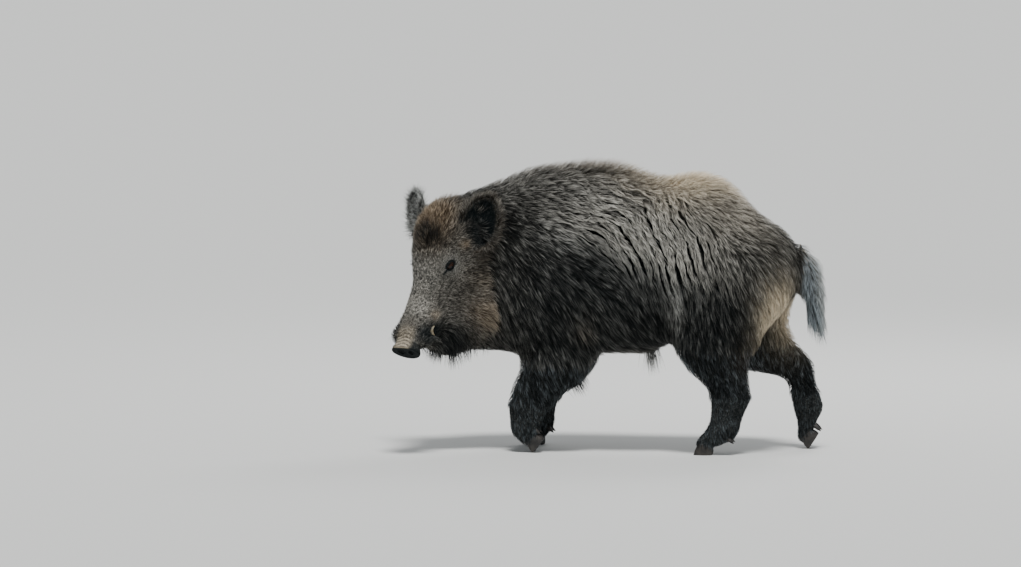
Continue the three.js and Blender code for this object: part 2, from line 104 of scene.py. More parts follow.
def in_head(points):
    """Places in the head's frame."""
    return (points - np.array(BRIDGE)) @ HEAD.T / MM


def head_vector(front, left, top):
    return np.array((FRONT * front + LEFT * left + TOP * top).normalized())


def folded(points):
    """The same points, with those on the right moved over to the left."""
    out = points.copy()
    out[:, 1] = np.abs(out[:, 1])
    return out


def unit(vectors):
    return vectors / np.maximum(np.linalg.norm(vectors, axis=-1, keepdims=True), 1e-9)


def ease(x, low, high):
    """0 below low, 1 above high, smooth between."""
    t = np.clip((x - low) / (high - low), 0, 1)
    return t * t * (3 - 2 * t)


def hump(distance, radius):
    """1 at distance 0, falling smoothly to nearly nothing at the radius."""
    return np.exp(-((distance / (0.6 * radius)) ** 2))


# ---- Mesh helpers --------------------------------------------------------------------------------------

def activate(obj):
    bpy.ops.object.select_all(action="DESELECT")
    obj.select_set(True)
    bpy.context.view_layer.objects.active = obj


def apply_modifier(obj, kind, **settings):
    activate(obj)
    modifier = obj.modifiers.new(kind.title(), kind)
    for name, value in settings.items():
        setattr(modifier, name, value)
    bpy.ops.object.modifier_apply(modifier=modifier.name)


def link(name, mesh):
    obj = bpy.data.objects.new(name, mesh)
    bpy.context.scene.collection.objects.link(obj)
    return obj


def places(mesh):
    out = np.empty(len(mesh.vertices) * 3, np.float32)
    mesh.vertices.foreach_get("co", out)
    return out.reshape(-1, 3).astype(float)


def set_places(mesh, points):
    mesh.vertices.foreach_set("co", points.astype(np.float32).ravel())
    mesh.update()


def directions(mesh):
    out = np.empty(len(mesh.vertices) * 3, np.float32)
    mesh.vertex_normals.foreach_get("vector", out)
    return out.reshape(-1, 3).astype(float)


MERGE_DISTANCE = 0.02 * MM


def cad_copy(node, name, grow=0.0):
    """A merged copy of a CAD node's mesh, with its vertices moved out by "grow"."""
    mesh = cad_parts[node].data.copy()
    obj = link(name, mesh)
    bm = bmesh.new()
    bm.from_mesh(mesh)
    bmesh.ops.remove_doubles(bm, verts=bm.verts, dist=MERGE_DISTANCE)
    bm.normal_update()
    for vertex in bm.verts:
        vertex.co += vertex.normal * grow
    bm.to_mesh(mesh)
    bm.free()
    mesh.materials.clear()
    return obj


def join(objects, name):
    activate(objects[0])
    for obj in objects:
        obj.select_set(True)
    bpy.ops.object.join()
    objects[0].name = name
    objects[0].data.name = name
    return objects[0]


def tree_of(points):
    """A tree that finds the nearest of the given points."""
    tree = KDTree(len(points))
    for index, point in enumerate(points.tolist()):
        tree.insert(point, index)
    tree.balance()
    return tree


class Net:
    """The neighbours of each vertex of a mesh, for averaging values over its surface."""

    def __init__(self, mesh):
        ends = np.empty(len(mesh.edges) * 2, np.int32)
        mesh.edges.foreach_get("vertices", ends)
        a, b = ends.reshape(-1, 2).T
        first = np.concatenate([a, b])
        order = np.argsort(first, kind="stable")
        self.others = np.concatenate([b, a])[order]
        self.count = np.bincount(first, minlength=len(mesh.vertices)).astype(float)
        self.starts = np.concatenate([[0], np.cumsum(self.count)[:-1]]).astype(int)

    def mean(self, values):
        total = np.add.reduceat(values[self.others], self.starts, axis=0)
        return total / (self.count if values.ndim == 1 else self.count[:, None])

    def smooth(self, values, times, share=0.5):
        for _ in range(times):
            values = values + share * (self.mean(values) - values)
        return values


# ---- The coat's plan: what grows where -------------------------------------------------------------------

def kind_of(part):
    if part in ("head", "snout", "tail", "tail_tuft"):
        return part
    for word in ("ear", "upper", "lower"):
        if part.endswith(word):
            return word
    return "trunk"


def kinds_of(parts):
    """The kind of each point's part, from the parts' places in FLESH."""
    return np.array([kind_of(part) for part in FLESH])[parts]


def sides_of(parts):
    return np.where(parts == FLESH.index("left_ear"), "left", "right")


# What the coat is like on each kind of part: its depth, the length and width of a tuft, tufts per square
# centimetre, how far the tips lift, how free of the skin they are, how much they hang and gather into locks,
# and the markings: black, pale, warm and grizzled. Sizes are in millimetres and the rest are shares.
PLAN_NAMES = (
    "depth", "length", "width", "density", "lift", "free", "hang", "lock", "black", "pale", "warm", "grizzle"
)
PLAN = {
    "head": (7, 13, 1.1, 9.0, 0.15, 0, 0.0, 0.2, 0.5, 0.0, 0.25, 0.6),
    "snout": (0.4, 4, 0.6, 3.0, 0.15, 0, 0.0, 0.0, 0.9, 0.0, 0.1, 0.2),
    "ear": (1.2, 12, 1.0, 14.0, 0.1, 0, 0.0, 0.1, 0.4, 0.0, 0.3, 0.5),
    "trunk": (18, 54, 1.8, 3.9, 0.04, 0, 0.0, 0.6, 0.7, 0.0, 0.15, 0.4),
    "upper": (9, 30, 1.7, 4.0, 0.05, 0, 0.1, 0.5, 0.92, 0.0, 0.15, 0.32),
    "lower": (1.5, 13, 1.2, 7.0, 0.12, 0, 0.0, 0.3, 1.0, 0.0, 0.0, 0.3),
    "tail": (12, 48, 1.5, 10.0, 0.35, 0.8, 0.2, 0.4, 0.6, 0.0, 0.0, 0.95),
    "tail_tuft": (16, 85, 1.5, 14.0, 0.2, 1, 0.45, 0.3, 0.7, 0.0, 0.0, 0.85),
}

# How the coat lies on the trunk's sides: x, z, and degrees below level towards the tail.
LIE = [
    (-0.14, 0.81, 15), (-0.26, 0.72, 20), (-0.28, 0.57, 45), (-0.25, 0.43, 58), (-0.11, 0.66, 35),
    (-0.02, 0.57, 12), (-0.10, 0.43, 66), (0.04, 0.72, 44), (0.13, 0.64, 52), (0.16, 0.49, 74),
    (0.05, 0.39, 55), (0.25, 0.81, 24), (0.37, 0.72, 40), (0.34, 0.55, 60), (0.31, 0.40, 76),
    (0.53, 0.61, 60), (0.52, 0.43, 80),
]
LIE_REACH = 0.07

# How it lies on the head: a place and a direction, both in the head's frame, for the left side.
HEAD_LIE = [
    ((280, 0, -5), (-1, 0, 0.1)),
    ((150, 0, 0), (-1, 0.15, 0)),
    ((60, 0, 0), (-1, 0.25, 0)),
    ((0, 10, 10), (-1, 0.3, 0.1)),
    ((-60, 0, 40), (-1, 0.1, 0.1)),
    ((-140, 0, 35), (-1, 0, -0.1)),
    ((-205, 0, 0), (-0.6, 0, -0.8)),
    ((240, 42, -25), (-1, 0.25, -0.2)),
    ((190, 50, -40), (-0.9, 0.3, -0.4)),
    ((140, 45, -30), (-0.85, 0.4, -0.4)),
    ((75, 70, -60), (-0.6, 0.5, -0.6)),
    ((35, 110, -110), (-0.3, 0.5, -0.8)),
    ((100, 130, -160), (-0.1, 0.5, -0.9)),
    ((140, 100, -190), (0.1, 0.3, -1)),
    ((190, 60, -170), (0, 0.2, -1)),
    ((0, 75, -25), (-1, 0.3, -0.3)),
    ((-60, 95, -30), (-0.5, 0.6, -0.6)),
    ((215, 20, -150), (-0.1, 0, -1)),
    ((130, 0, -200), (-0.5, 0, -0.8)),
]
HEAD_LIE_REACH = 42

# And on the legs and the tail.
LIMB_LIE = {"upper": (0.3, 0, -1), "lower": (0.12, 0, -1), "tail": (0.3, 0, -1), "tail_tuft": (0.3, 0, -1)}

# Each ear in the head's frame: the way it rises and the way its cup opens. Then the marks of cup and rim.
EARS = {
    "left": {
        "rise": (-0.93, 0.28, 0.24),
        "opens": (0.4, 0.57, 0.72),
        "cup": {"black": 1.0, "warm": 0.0, "grizzle": 0.0},
        "rim": {"black": 0.4, "warm": 0.4, "grizzle": 0.45},
    },
    "right": {
        "rise": (-0.9, -0.4, 0.2),
        "opens": (0.75, -0.25, 0.6),
        "cup": {"black": 0.5, "warm": 0.0, "grizzle": 0.85},
        "rim": {"black": 0.4, "warm": 0.0, "grizzle": 0.9},
    },
}
EAR_FRINGE = {"length": 32, "free": 1, "density": 30, "width": 0.9}
EAR_FRINGE_REACH = 0.014  # how far in from the rim the fringe is rooted


def softly_nearest(distance, reach):
    """Weights over guides, one row for each point, that favour the nearest guide."""
    power = -((distance / reach) ** 2) / 2
    weight = np.exp(power - power.max(axis=1, keepdims=True))
    return weight / weight.sum(axis=1, keepdims=True)


def trunk_lie(points):
    guides = np.array(LIE)
    offset = points[:, None, [0, 2]] - guides[None, :, :2]
    weight = softly_nearest(np.linalg.norm(offset, axis=2), LIE_REACH)
    angle = np.radians(guides[:, 2])
    level = weight @ np.cos(angle)
    down = weight @ np.sin(angle)
    return unit(np.stack([level, np.zeros(len(points)), -down], axis=1))


def head_lie(points):
    spot = in_head(points)
    mirror = np.where(spot[:, 1:2] < 0, [[1.0, -1.0, 1.0]], [[1.0, 1.0, 1.0]])
    guides = np.array([place for place, _ in HEAD_LIE])
    ways = np.array([way for _, way in HEAD_LIE])
    distance = np.linalg.norm((spot * mirror)[:, None] - guides[None], axis=2)
    way = softly_nearest(distance, HEAD_LIE_REACH) @ ways
    return unit((way * mirror) @ HEAD)


def wave(points, way, length, turn=0.0):
    return np.sin(2 * math.pi * (points @ np.array(way)) / length + turn)


# The long locks of the flank, which run in arcs round a place at the elbow.
RIDGE_GAP = 0.026  # from one crest to the next
RIDGE_HEIGHT = 0.016
RIDGE_HEART = np.array([-0.22, 0, 0.41])
RIDGE_MIDDLE, RIDGE_REACH = (0.09, 0.680), (0.245, 0.150)
RIDGE_SLANT = 0.34  # how steeply their field falls towards the tail
CREST_WAVES = (
    (0.010, (0.8, 0.3, -0.6), 0.31, 0.0), (0.006, (-0.5, 0.2, 0.9), 0.17, 1.3),
    (0.004, (0.9, 0, 0.5), 0.083, 0.4), (0.003, (0.6, 0.1, -0.8), 0.052, 0.0),
)


def from_heart(points):
    offset = (points - RIDGE_HEART) * [1, 0, 1]
    return offset, np.linalg.norm(offset, axis=1)


def slanted(points):
    """Height on the trunk, measured from a line that falls towards the tail."""
    return points[:, 2] + RIDGE_SLANT * (points[:, 0] - RIDGE_MIDDLE[0])


def ridge_zone(points, normals):
    """1 where the flank has its long locks, 0 elsewhere."""
    side = ease(np.abs(normals[:, 1]), 0.25, 0.7)
    place = np.stack([points[:, 0], slanted(points)], axis=1)
    zone = hump(np.linalg.norm((place - RIDGE_MIDDLE) / RIDGE_REACH, axis=1), 1.3)
    return np.clip(1.6 * zone, 0, 1) * side


def crests(points):
    """Which crest each point is at, counted out from the heart, and the way out from there."""
    offset, radius = from_heart(points)
    wander = sum(size * wave(points, way, length, turn) for size, way, length, turn in CREST_WAVES)
    return (radius + wander) / RIDGE_GAP, unit(offset)


def ridges(points, normals):
    """Height in the long slanting locks from 0 to 1, and how far they have to do with each point."""
    turn, _ = crests(points)
    height = (0.5 + 0.5 * np.cos(2 * math.pi * turn)) ** 1.5
    patchy = 0.8 + 0.2 * wave(points, (0.7, 0, -0.7), 0.14, 0.7)
    return height, ridge_zone(points, normals) * patchy


def along_locks(points, normals, flow):
    """The trunk's flow, turned into arcs round the heart of the long locks."""
    offset, _ = from_heart(points)
    arc = unit(np.stack([offset[:, 2], np.zeros(len(points)), -offset[:, 0]], axis=1))
    share = np.minimum(1.5 * ridge_zone(points, normals), 1)[:, None]
    return unit(flow + share * (arc - flow))


def along_back(points, normals, flow):
    """The trunk's flow, turned on top of the back towards the tail and a little to its own side."""
    top = ease(normals[:, 2], 0.55, 0.95)[:, None]
    outward = np.sign(points[:, 1:2] - TRUNK_MIDDLE)
    way = np.concatenate([np.ones_like(top), 0.25 * outward, -0.05 * outward**2], axis=1)
    return unit(flow * (1 - top) + way * top)


def ear_lie(points, side):
    """From the middle of the ear out to its rim, and up to its tip."""
    outward = points - np.array(centre(side + "_ear"))
    opening = head_vector(*EARS[side]["opens"])
    outward -= (outward @ opening)[:, None] * opening
    return unit(unit(outward) + 0.4 * head_vector(*EARS[side]["rise"]))


def flow_of(points, normals, kinds, sides):
    """The way the hair grows at each point, before it is laid on the surface."""
    flow = along_back(points, normals, along_locks(points, normals, trunk_lie(points)))
    for kind, way in LIMB_LIE.items():
        flow[kinds == kind] = unit(np.array(way, float))
    on_face = np.isin(kinds, ["head", "snout"])
    flow[on_face] = head_lie(points[on_face])
    for side in SIDES:
        on_ear = (kinds == "ear") & (sides == side)
        flow[on_ear] = ear_lie(points[on_ear], side)
    return flow


def head_blob(spot, place, radius):
    """1 at a place on either side of the head, falling away to its radius."""
    return np.clip(1.5 * hump(np.linalg.norm(folded(spot) - place, axis=1), radius), 0, 1)


def trunk_blob(points, place, reach):
    """1 at a place on either side of the trunk, falling away to its reach on each axis."""
    side = folded(points - [0, TRUNK_MIDDLE, 0])
    return np.clip(1.5 * hump(np.linalg.norm((side - place) / reach, axis=1), 1), 0, 1)


def column(plan, name):
    return plan[:, PLAN_NAMES.index(name)]


def mix_in(plan, share, **values):
    """Moves columns of the plan towards new values, by each point's share."""
    for name, value in values.items():
        now = column(plan, name)
        now += (value - now) * share


# Spots of the head's coat: place, radius, and what each changes there.
HEAD_SPOTS = [
    ((-120, 0, 35), 100, {"warm": 1.0, "black": 0.2, "grizzle": 0.6, "length": 24, "lift": 0.5, "depth": 11}),
    ((-205, 0, 0), 75,
     {"length": 30, "lift": 0.6, "depth": 13, "grizzle": 0.55, "black": 0.4, "width": 1.2, "warm": 0.7}),
    ((-66, 93, -26), 24, {"warm": 0.9, "length": 18, "black": 0.2, "grizzle": 0.8}),
    ((2, 70, -26), 46, {"length": 6, "depth": 3, "black": 0.4, "grizzle": 0.7, "lift": 0.05, "warm": 0.1}),
    ((74, 92, -111), 60, {"black": 0.6, "grizzle": 0.5, "length": 14, "warm": 0.3}),
    ((90, 140, -165), 80,
     {"warm": 0.75, "length": 32, "depth": 14, "grizzle": 0.95, "black": 0.2, "width": 1.4, "lift": 0.15}),
    ((10, 135, -100), 65, {"warm": 0.6, "length": 26, "depth": 12, "width": 1.5, "grizzle": 0.75}),
    ((60, 15, 0), 70,
     {"length": 12, "depth": 3, "grizzle": 0.8, "black": 0.9, "warm": 0.25, "width": 1.3, "lock": 0.7}),
    ((150, 20, -5), 60,
     {"length": 10, "depth": 2, "grizzle": 0.85, "black": 0.9, "warm": 0.25, "width": 1.3, "lock": 0.7}),
    ((215, 8, 0), 40, {"length": 5, "depth": 1, "grizzle": 0.6, "black": 0.5, "warm": 0.3}),
    ((228, 50, -35), 42, {"black": 1.0, "grizzle": 0.2, "warm": 0, "pale": 0, "length": 9, "lift": 0.25}),
    ((205, 56, -75), 52, {"black": 1.0, "length": 7, "depth": 2.5, "grizzle": 0.1, "warm": 0}),
    ((160, 56, -42), 26, {"warm": 0.6, "grizzle": 0.9, "length": 12, "black": 0.4}),
    ((190, 50, -145), 70, {"black": 1.0, "length": 40, "depth": 12, "hang": 0.8, "grizzle": 0.15, "warm": 0}),
    ((120, 20, -200), 80, {"black": 0.95, "length": 44, "depth": 16, "hang": 0.8, "grizzle": 0.2, "warm": 0}),
    ((-56, 14, 40), 60, {"black": 0.9, "warm": 1.0, "grizzle": 0.1, "length": 24, "lift": 0.55, "depth": 12}),
    ((-125, 116, -35), 50, {"black": 1.0, "grizzle": 0.0, "warm": 0.0, "length": 14}),
    ((-92, 117, -52), 26, {"black": 1.0, "grizzle": 0.0, "warm": 0.0, "length": 12}),
    ((-50, 127, -78), 30, {"black": 0.4, "grizzle": 0.55, "warm": 0.5, "length": 24}),
]
# Spots of the trunk's coat, the same on both sides: place, reach on each axis, and changes.
TRUNK_SPOTS = [
    ((-0.30, 0.0, 0.80), (0.18, 0.14, 0.12), {"depth": 24, "length": 44, "grizzle": 0.95, "black": 0.55}),
    ((-0.06, 0.0, 0.86), (0.28, 0.1, 0.1),
     {"depth": 26, "length": 32, "grizzle": 0.95, "lock": 0.05, "warm": 0.5, "lift": 0.8, "width": 1.3,
      "density": 6}),
    ((-0.18, 0.2, 0.69), (0.12, 0.2, 0.11), {"grizzle": 0.8, "black": 0.75}),
    ((-0.28, 0.16, 0.44), (0.13, 0.2, 0.15), {"black": 0.92, "grizzle": 0.35}),
    # A paler coat on top of the loin and rump: partly its own lighter grizzle and partly painted light
    # falling from above.
    ((0.27, 0.0, 0.83), (0.30, 0.20, 0.12),
     {"depth": 20, "length": 36, "grizzle": 1.4, "pale": 0.9, "lift": 0.3, "black": 0.0, "width": 1.5,
      "density": 5, "lock": 0.3}),
    ((0.42, 0.12, 0.75), (0.22, 0.2, 0.15),
     {"grizzle": 1.1, "black": 0.4, "pale": 0.15, "length": 42, "width": 1.7, "density": 4}),
    # The long hair under the belly, kept paler than the dark lower half as painted light bounced up from
    # below.
    ((-0.02, 0.0, 0.29), (0.4, 0.25, 0.10),
     {"depth": 22, "length": 50, "hang": 0.35, "black": 0.6, "grizzle": 0.5}),
    ((-0.1, 0.2, 0.42), (0.26, 0.2, 0.14), {"black": 0.95, "grizzle": 0.25}),
    ((-0.09, 0.19, 0.40), (0.03, 0.12, 0.07), {"grizzle": 0.6, "black": 0.5, "warm": 0.5}),
    ((0.50, 0.14, 0.42), (0.092, 0.14, 0.15),
     {"pale": 1.0, "warm": 1.0, "length": 34, "grizzle": 1.4, "black": 0}),
    ((0.19, 0.18, 0.45), (0.035, 0.1, 0.13), {"grizzle": 1.0, "black": 0.3}),
    ((0.31, 0.18, 0.45), (0.13, 0.12, 0.15), {"black": 0.95, "grizzle": 0.22}),
    ((0.42, 0.15, 0.30), (0.1, 0.12, 0.1), {"warm": 0.6, "black": 0.6, "grizzle": 0.35}),
]


def plan_ear(plan, points, normals, on_ear, side):
    """Marks within the cup, and a long soft fringe round the rim."""
    if not on_ear.any():
        return
    facing = np.where(on_ear, normals @ head_vector(*EARS[side]["opens"]), -1)
    rim_tree = tree_of(points[on_ear & (np.abs(facing) < 0.45)])
    from_rim = np.full(len(points), 1.0)
    from_rim[on_ear] = [rim_tree.find(point)[2] for point in points[on_ear].tolist()]
    inside = ease(facing, -0.1, 0.4) * ease(from_rim, 0.004, 0.012)
    mix_in(plan, inside, **EARS[side]["cup"])
    rim = ease(EAR_FRINGE_REACH - from_rim, 0.0, 0.01)
    mix_in(plan, rim, **EAR_FRINGE, **EARS[side]["rim"])


def wrinkles(front, left):
    """Folds across the top of the snout, from -1 in their hollows to 1."""
    return np.sin(2 * math.pi * (front - 0.3 * np.abs(left) + 3 * np.sin(left / 9)) / 11)


TUSK_GAP = (200, 48, -62)


def plan_snout(plan, spot, on_face):
    """Paler wrinkled skin on top of the snout with painted shade in the hollows of its wrinkles, no hair
    round the tusk, and a dark disc with a painted highlight along its upper rim.
    """
    front, left, top = spot.T
    high = top - DISC_HEIGHT
    pale_top = ease(front, 205, 250) * ease(high, 10, 28) * ease(36 - np.abs(left), 0, 18) * on_face
    mix_in(plan, pale_top, pale=0.30, black=0.4, grizzle=0.8, warm=0.4)
    # Painted shade: the hollows between the wrinkles are darkened.
    hollow = ease(-wrinkles(front, left), 0.0, 0.8) * pale_top
    mix_in(plan, hollow, pale=0.0, black=0.9, grizzle=0.4)
    mix_in(plan, head_blob(spot, TUSK_GAP, 22) * on_face, density=0, black=1.0)
    mix_in(plan, ease(front, DISC_FRONT - 18, DISC_FRONT - 10) * on_face, density=0)
    disc = ease(front, DISC_FRONT - 7, DISC_FRONT - 2) * on_face
    mix_in(plan, disc, pale=0.0, black=1.0, grizzle=0.0, warm=0.0)
    # Painted highlight: a pale line along the upper rim of the disc, for the sheen of the moist snout.
    mix_in(plan, disc * ease(high, 26, 31), pale=0.35)


def plan_eyes(plan, points, on_face):
    """Bare dark lids, a dark tear line in front of each eye, and short hair round it."""
    for side in SIDES:
        along, brow, out = [np.array(axis) for axis in eye_axes(side)]
        offset = (points - np.array(EYE[side])) / MM
        run, rise, depth = offset @ along, offset @ brow, offset @ out
        here = (np.abs(depth) < 40) * on_face
        lids = ease(1.25 - np.hypot(run / 18, rise / 12), 0.0, 0.3) * here
        tear = ease(4.5 - np.abs(rise + 0.1 * run), 0.0, 2.5) * ease(run, 8, 12) * ease(40 - run, 0, 8)
        mix_in(plan, ease(50 - np.hypot(run, rise), 0, 20) * here, length=5, width=0.8)
        for share in (lids, tear * here):
            mix_in(plan, share, density=0, black=1.0, grizzle=0.0, pale=0.0, warm=0.0)


def plan_body(plan, points, normals, on_body):
    """A dark lower half, the trunk's spots, and more and lighter tufts in the long locks."""
    low = ease(0.635 - slanted(points), 0.0, 0.10) * on_body * ease(np.abs(normals[:, 1]), 0.2, 0.6)
    low *= 0.25 + 0.75 * ease(points[:, 0], -0.34, -0.14)
    mix_in(plan, low, black=0.9, grizzle=0.2, warm=0.0)
    for place, reach, changes in TRUNK_SPOTS:
        mix_in(plan, trunk_blob(points, place, reach) * on_body, **changes)
    in_ridges = ridge_zone(points, normals) * on_body
    mix_in(plan, in_ridges, density=7.5, width=1.7)
    mix_in(plan, in_ridges * ease(slanted(points), 0.55, 0.65), grizzle=0.9, black=0.72)


def plan_of(points, normals, kinds, sides):
    """One row of PLAN values for each point, from its kind of part and its place."""
    plan = np.array([PLAN[kind] for kind in kinds], float)
    spot = in_head(points)
    on_face = np.isin(kinds, ["head", "snout"])
    for place, radius, changes in HEAD_SPOTS:
        mix_in(plan, head_blob(spot, place, radius) * on_face, **changes)
    plan_snout(plan, spot, on_face)
    plan_eyes(plan, points, on_face)
    for side in SIDES:
        plan_ear(plan, points, normals, (kinds == "ear") & (sides == side), side)
    plan_body(plan, points, normals, np.isin(kinds, ["trunk", "upper"]))
    tail_outside = ease(normals[:, 0], 0.0, 0.7) * np.isin(kinds, ["tail", "tail_tuft"])
    mix_in(plan, tail_outside, grizzle=1.6, black=0.1, pale=0.2)
    fetlock = ease(0.11 - points[:, 2], 0.0, 0.03) * (kinds == "lower")
    mix_in(plan, fetlock, depth=0.3, length=20, lift=0.25)
    return plan


# ---- The skin --------------------------------------------------------------------------------------------

VOXEL = 4.6 * MM
FLESH_GROWTH = 0.5 * MM  # so that neighbouring parts run together
HORN_SINK = 1.2 * MM  # how far the flesh inside a hoof stays below the horn
SMOOTHING_ROUNDS = 90
SETTLING_ROUNDS = 16
BODY_FACES = 0.345  # the share of faces kept under the body's coat

# How fast each kind of part is smoothed before it sinks in under the coat, and settles after that.
SMOOTHING = {
    "head": 0.12, "snout": 0.05, "ear": 0.03, "trunk": 0.5,
    "upper": 0.3, "lower": 0.05, "tail": 0.2, "tail_tuft": 0.2,
}
SETTLING = {
    "head": 0, "snout": 0, "ear": 0, "trunk": 0.5,
    "upper": 0.3, "lower": 0.02, "tail": 0.4, "tail_tuft": 0.3,
}


def surface_tree(mesh):
    corners = [vertex.co for vertex in mesh.vertices]
    return BVHTree.FromPolygons(corners, [face.vertices[:] for face in mesh.polygons])


HORN_REACH = 0.06  # no hoof or dewclaw reaches further than this from its middle
HORN_MARGIN = 0.3 * MM


def in_horn(points):
    """True for points of the skin that lie within a hoof or dewclaw."""
    found = np.zeros(len(points), bool)
    for node in HORN:
        tree = surface_tree(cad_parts[node].data)
        middle = np.array(centre(node))
        close = np.flatnonzero(np.linalg.norm(points - middle, axis=1) < HORN_REACH)
        for index in close.tolist():
            spot, normal, _, _ = tree.find_nearest(Vector(points[index]))
            found[index] |= (Vector(points[index]) - spot).dot(normal) < HORN_MARGIN
    return found


def nearest_parts(points):
    """For each point, the index in FLESH of the CAD node that it is nearest to."""
    corners, triangles, owner = [], [], []
    for index, part in enumerate(FLESH):
        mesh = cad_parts[part].data
        start = len(corners)
        corners += [vertex.co for vertex in mesh.vertices]
        triangles += [[start + i for i in face.vertices] for face in mesh.polygons]
        owner += [index] * len(mesh.polygons)
    tree = BVHTree.FromPolygons(corners, triangles)
    return np.array([owner[tree.find_nearest(point)[2]] for point in points.tolist()])


def remeshed_flesh():
    copies = [cad_copy(part, "flesh_" + part, FLESH_GROWTH) for part in FLESH]
    copies += [cad_copy(side + "_eye", "filled_" + side, FLESH_GROWTH) for side in SIDES]
    copies += [cad_copy(node, "filled_" + node, -HORN_SINK) for node in HORN]
    skin = join(copies, "skin")
    skin.data.remesh_voxel_size = VOXEL
    activate(skin)
    bpy.ops.object.voxel_remesh()
    return skin


def shares(net, amounts, kinds):
    """The amount for each vertex's kind of part, blended where two kinds meet."""
    return net.smooth(np.array([amounts[kind] for kind in kinds]), 6)[:, None]


def turn_right_ear(points, parts):
    """Moves the right ear's root back and its tip forwards, and makes it a little lower."""
    ear = parts == FLESH.index("right_ear")
    level = points[ear, 2]
    points[ear, 0] += 12 * MM - 22 * MM * ease(level, 0.64, 0.75)
    points[ear, 2] -= 0.15 * np.maximum(level - 0.70, 0)


def smooth_flesh(skin):
    """Takes the flat facets out of the flesh, least where the form is fine. Returns each vertex's part."""
    points = places(skin.data)
    parts = nearest_parts(points)
    net = Net(skin.data)
    points = net.smooth(points, SMOOTHING_ROUNDS, shares(net, SMOOTHING, kinds_of(parts)))
    turn_right_ear(points, parts)
    set_places(skin.data, points)
    return parts, net


def sink(skin, net, depth, steps=4):
    """Moves the skin in under the coat, a little at a time so that folds don't cross."""
    for _ in range(steps):
        points = places(skin.data) - directions(skin.data) * (depth / steps)[:, None]
        set_places(skin.data, points + 0.25 * (net.mean(points) - points))


def raise_ridges(skin):
    points = places(skin.data)
    normals = directions(skin.data)
    height, zone = ridges(points, normals)
    set_places(skin.data, points + normals * (RIDGE_HEIGHT * zone * (height - 0.5))[:, None])


def thin_out_body(skin, kinds):
    """Fewer faces on the body, where the coat covers the skin, and all of them kept where it is shaped."""
    group = skin.vertex_groups.new(name="body")
    wanted = np.flatnonzero(~np.isin(kinds, ["head", "snout", "ear", "lower"]))
    group.add(wanted.tolist(), 1.0, "REPLACE")
    apply_modifier(skin, "DECIMATE", ratio=BODY_FACES, vertex_group="body", use_collapse_triangulate=False)
    skin.vertex_groups.clear()


def refine_face(skin, chosen):
    """Halves the edges of the faces whose middles a function of their places on the head chooses."""
    bm = bmesh.new()
    bm.from_mesh(skin.data)
    middles = np.array([face.calc_center_median() for face in bm.faces])
    pick = chosen(in_head(middles))
    bm.faces.ensure_lookup_table()
    edges = {edge for index in np.flatnonzero(pick) for edge in bm.faces[index].edges}
    bmesh.ops.subdivide_edges(bm, edges=list(edges), cuts=1, use_grid_fill=True, smooth=0.6)
    bmesh.ops.triangulate(bm, faces=[face for face in bm.faces if len(face.verts) > 4])
    bm.to_mesh(skin.data)
    bm.free()


def over_face(spot, place, reach):
    """1 at a place on either side of the face, falling away within the reach on each axis."""
    return hump(np.linalg.norm((folded(spot) - place) / reach, axis=1), 1)


def groove(distance, half_width):
    return np.exp(-((distance / half_width) ** 2))


DISC_WIDE, DISC_HIGH = 45, 33  # half the snout disc's width and height
NOSTRIL = (18, -2, 8.5, 11)  # its distance from the middle, height on the disc, half width and half height
NOSTRIL_DEPTH = 15
DISC_THICK = 12


def shape_snout(spot):
    """The disc at the snout's end, flat and flared with a crisp rim, and wrinkled skin behind it."""
    front, left, top = spot.T
    rise = top - DISC_HEIGHT
    around = np.arctan2(rise / DISC_HIGH, left / DISC_WIDE)
    radius = np.hypot(rise / DISC_HIGH, left / DISC_WIDE)
    near = ease(front, 240, 262)
    # Behind the rim the muzzle narrows, and then it flares to the rim.
    flare = 0.99 - 0.03 * hump(np.abs(front - 268), 14) + 0.09 * ease(front, 272, 285)
    on_side = ease(radius, 0.7, 0.9)
    upper = ease(np.sin(around), 0.0, 0.5)
    crease = np.sin(2 * math.pi * (front + 2.5 * np.sin(3 * around)) / 7.5)
    crease *= hump(np.abs(front - 268), 22) * upper
    target = np.clip(radius, 0.94, 1.05) * flare + 0.02 * crease
    grown = radius + (target - radius) * near * on_side
    dip = 2.2 * hump(np.abs(left), 20) * ease(rise, 10, 30)  # the rim sags in the middle of its upper edge
    left = left * grown / np.maximum(radius, 0.05)
    rise = rise * grown / np.maximum(radius, 0.05) - dip * near
    # The face of the disc, a little hollow towards its middle.
    ahead = ease(front, 277, 283)
    flat = DISC_FRONT + 1.0 - 3.0 * (1 - np.clip(grown, 0, 1) ** 2) - 0.08 * rise
    front = front + (flat - front) * ahead * (1 - ease(grown, 1.02, 1.12))
    side, height, wide, high = NOSTRIL
    hole = np.hypot((np.abs(left) - side - 0.15 * (rise - height)) / wide, (rise - height) / high)
    lip = 1.3 * groove(hole - 1.15, 0.22)
    front = front + ahead * (lip - NOSTRIL_DEPTH * (1 - ease(hole, 0.55, 1.0)))
    front = front - ahead * groove(left, 3.0) * ease(rise, -10, 20)  # a shallow line between the nostrils
    return np.stack([front, left, rise + DISC_HEIGHT], axis=1)


MOUTH_CORNER = (275, -62)  # where the line between the lips starts at the snout
MOUTH_SLOPE = 0.25

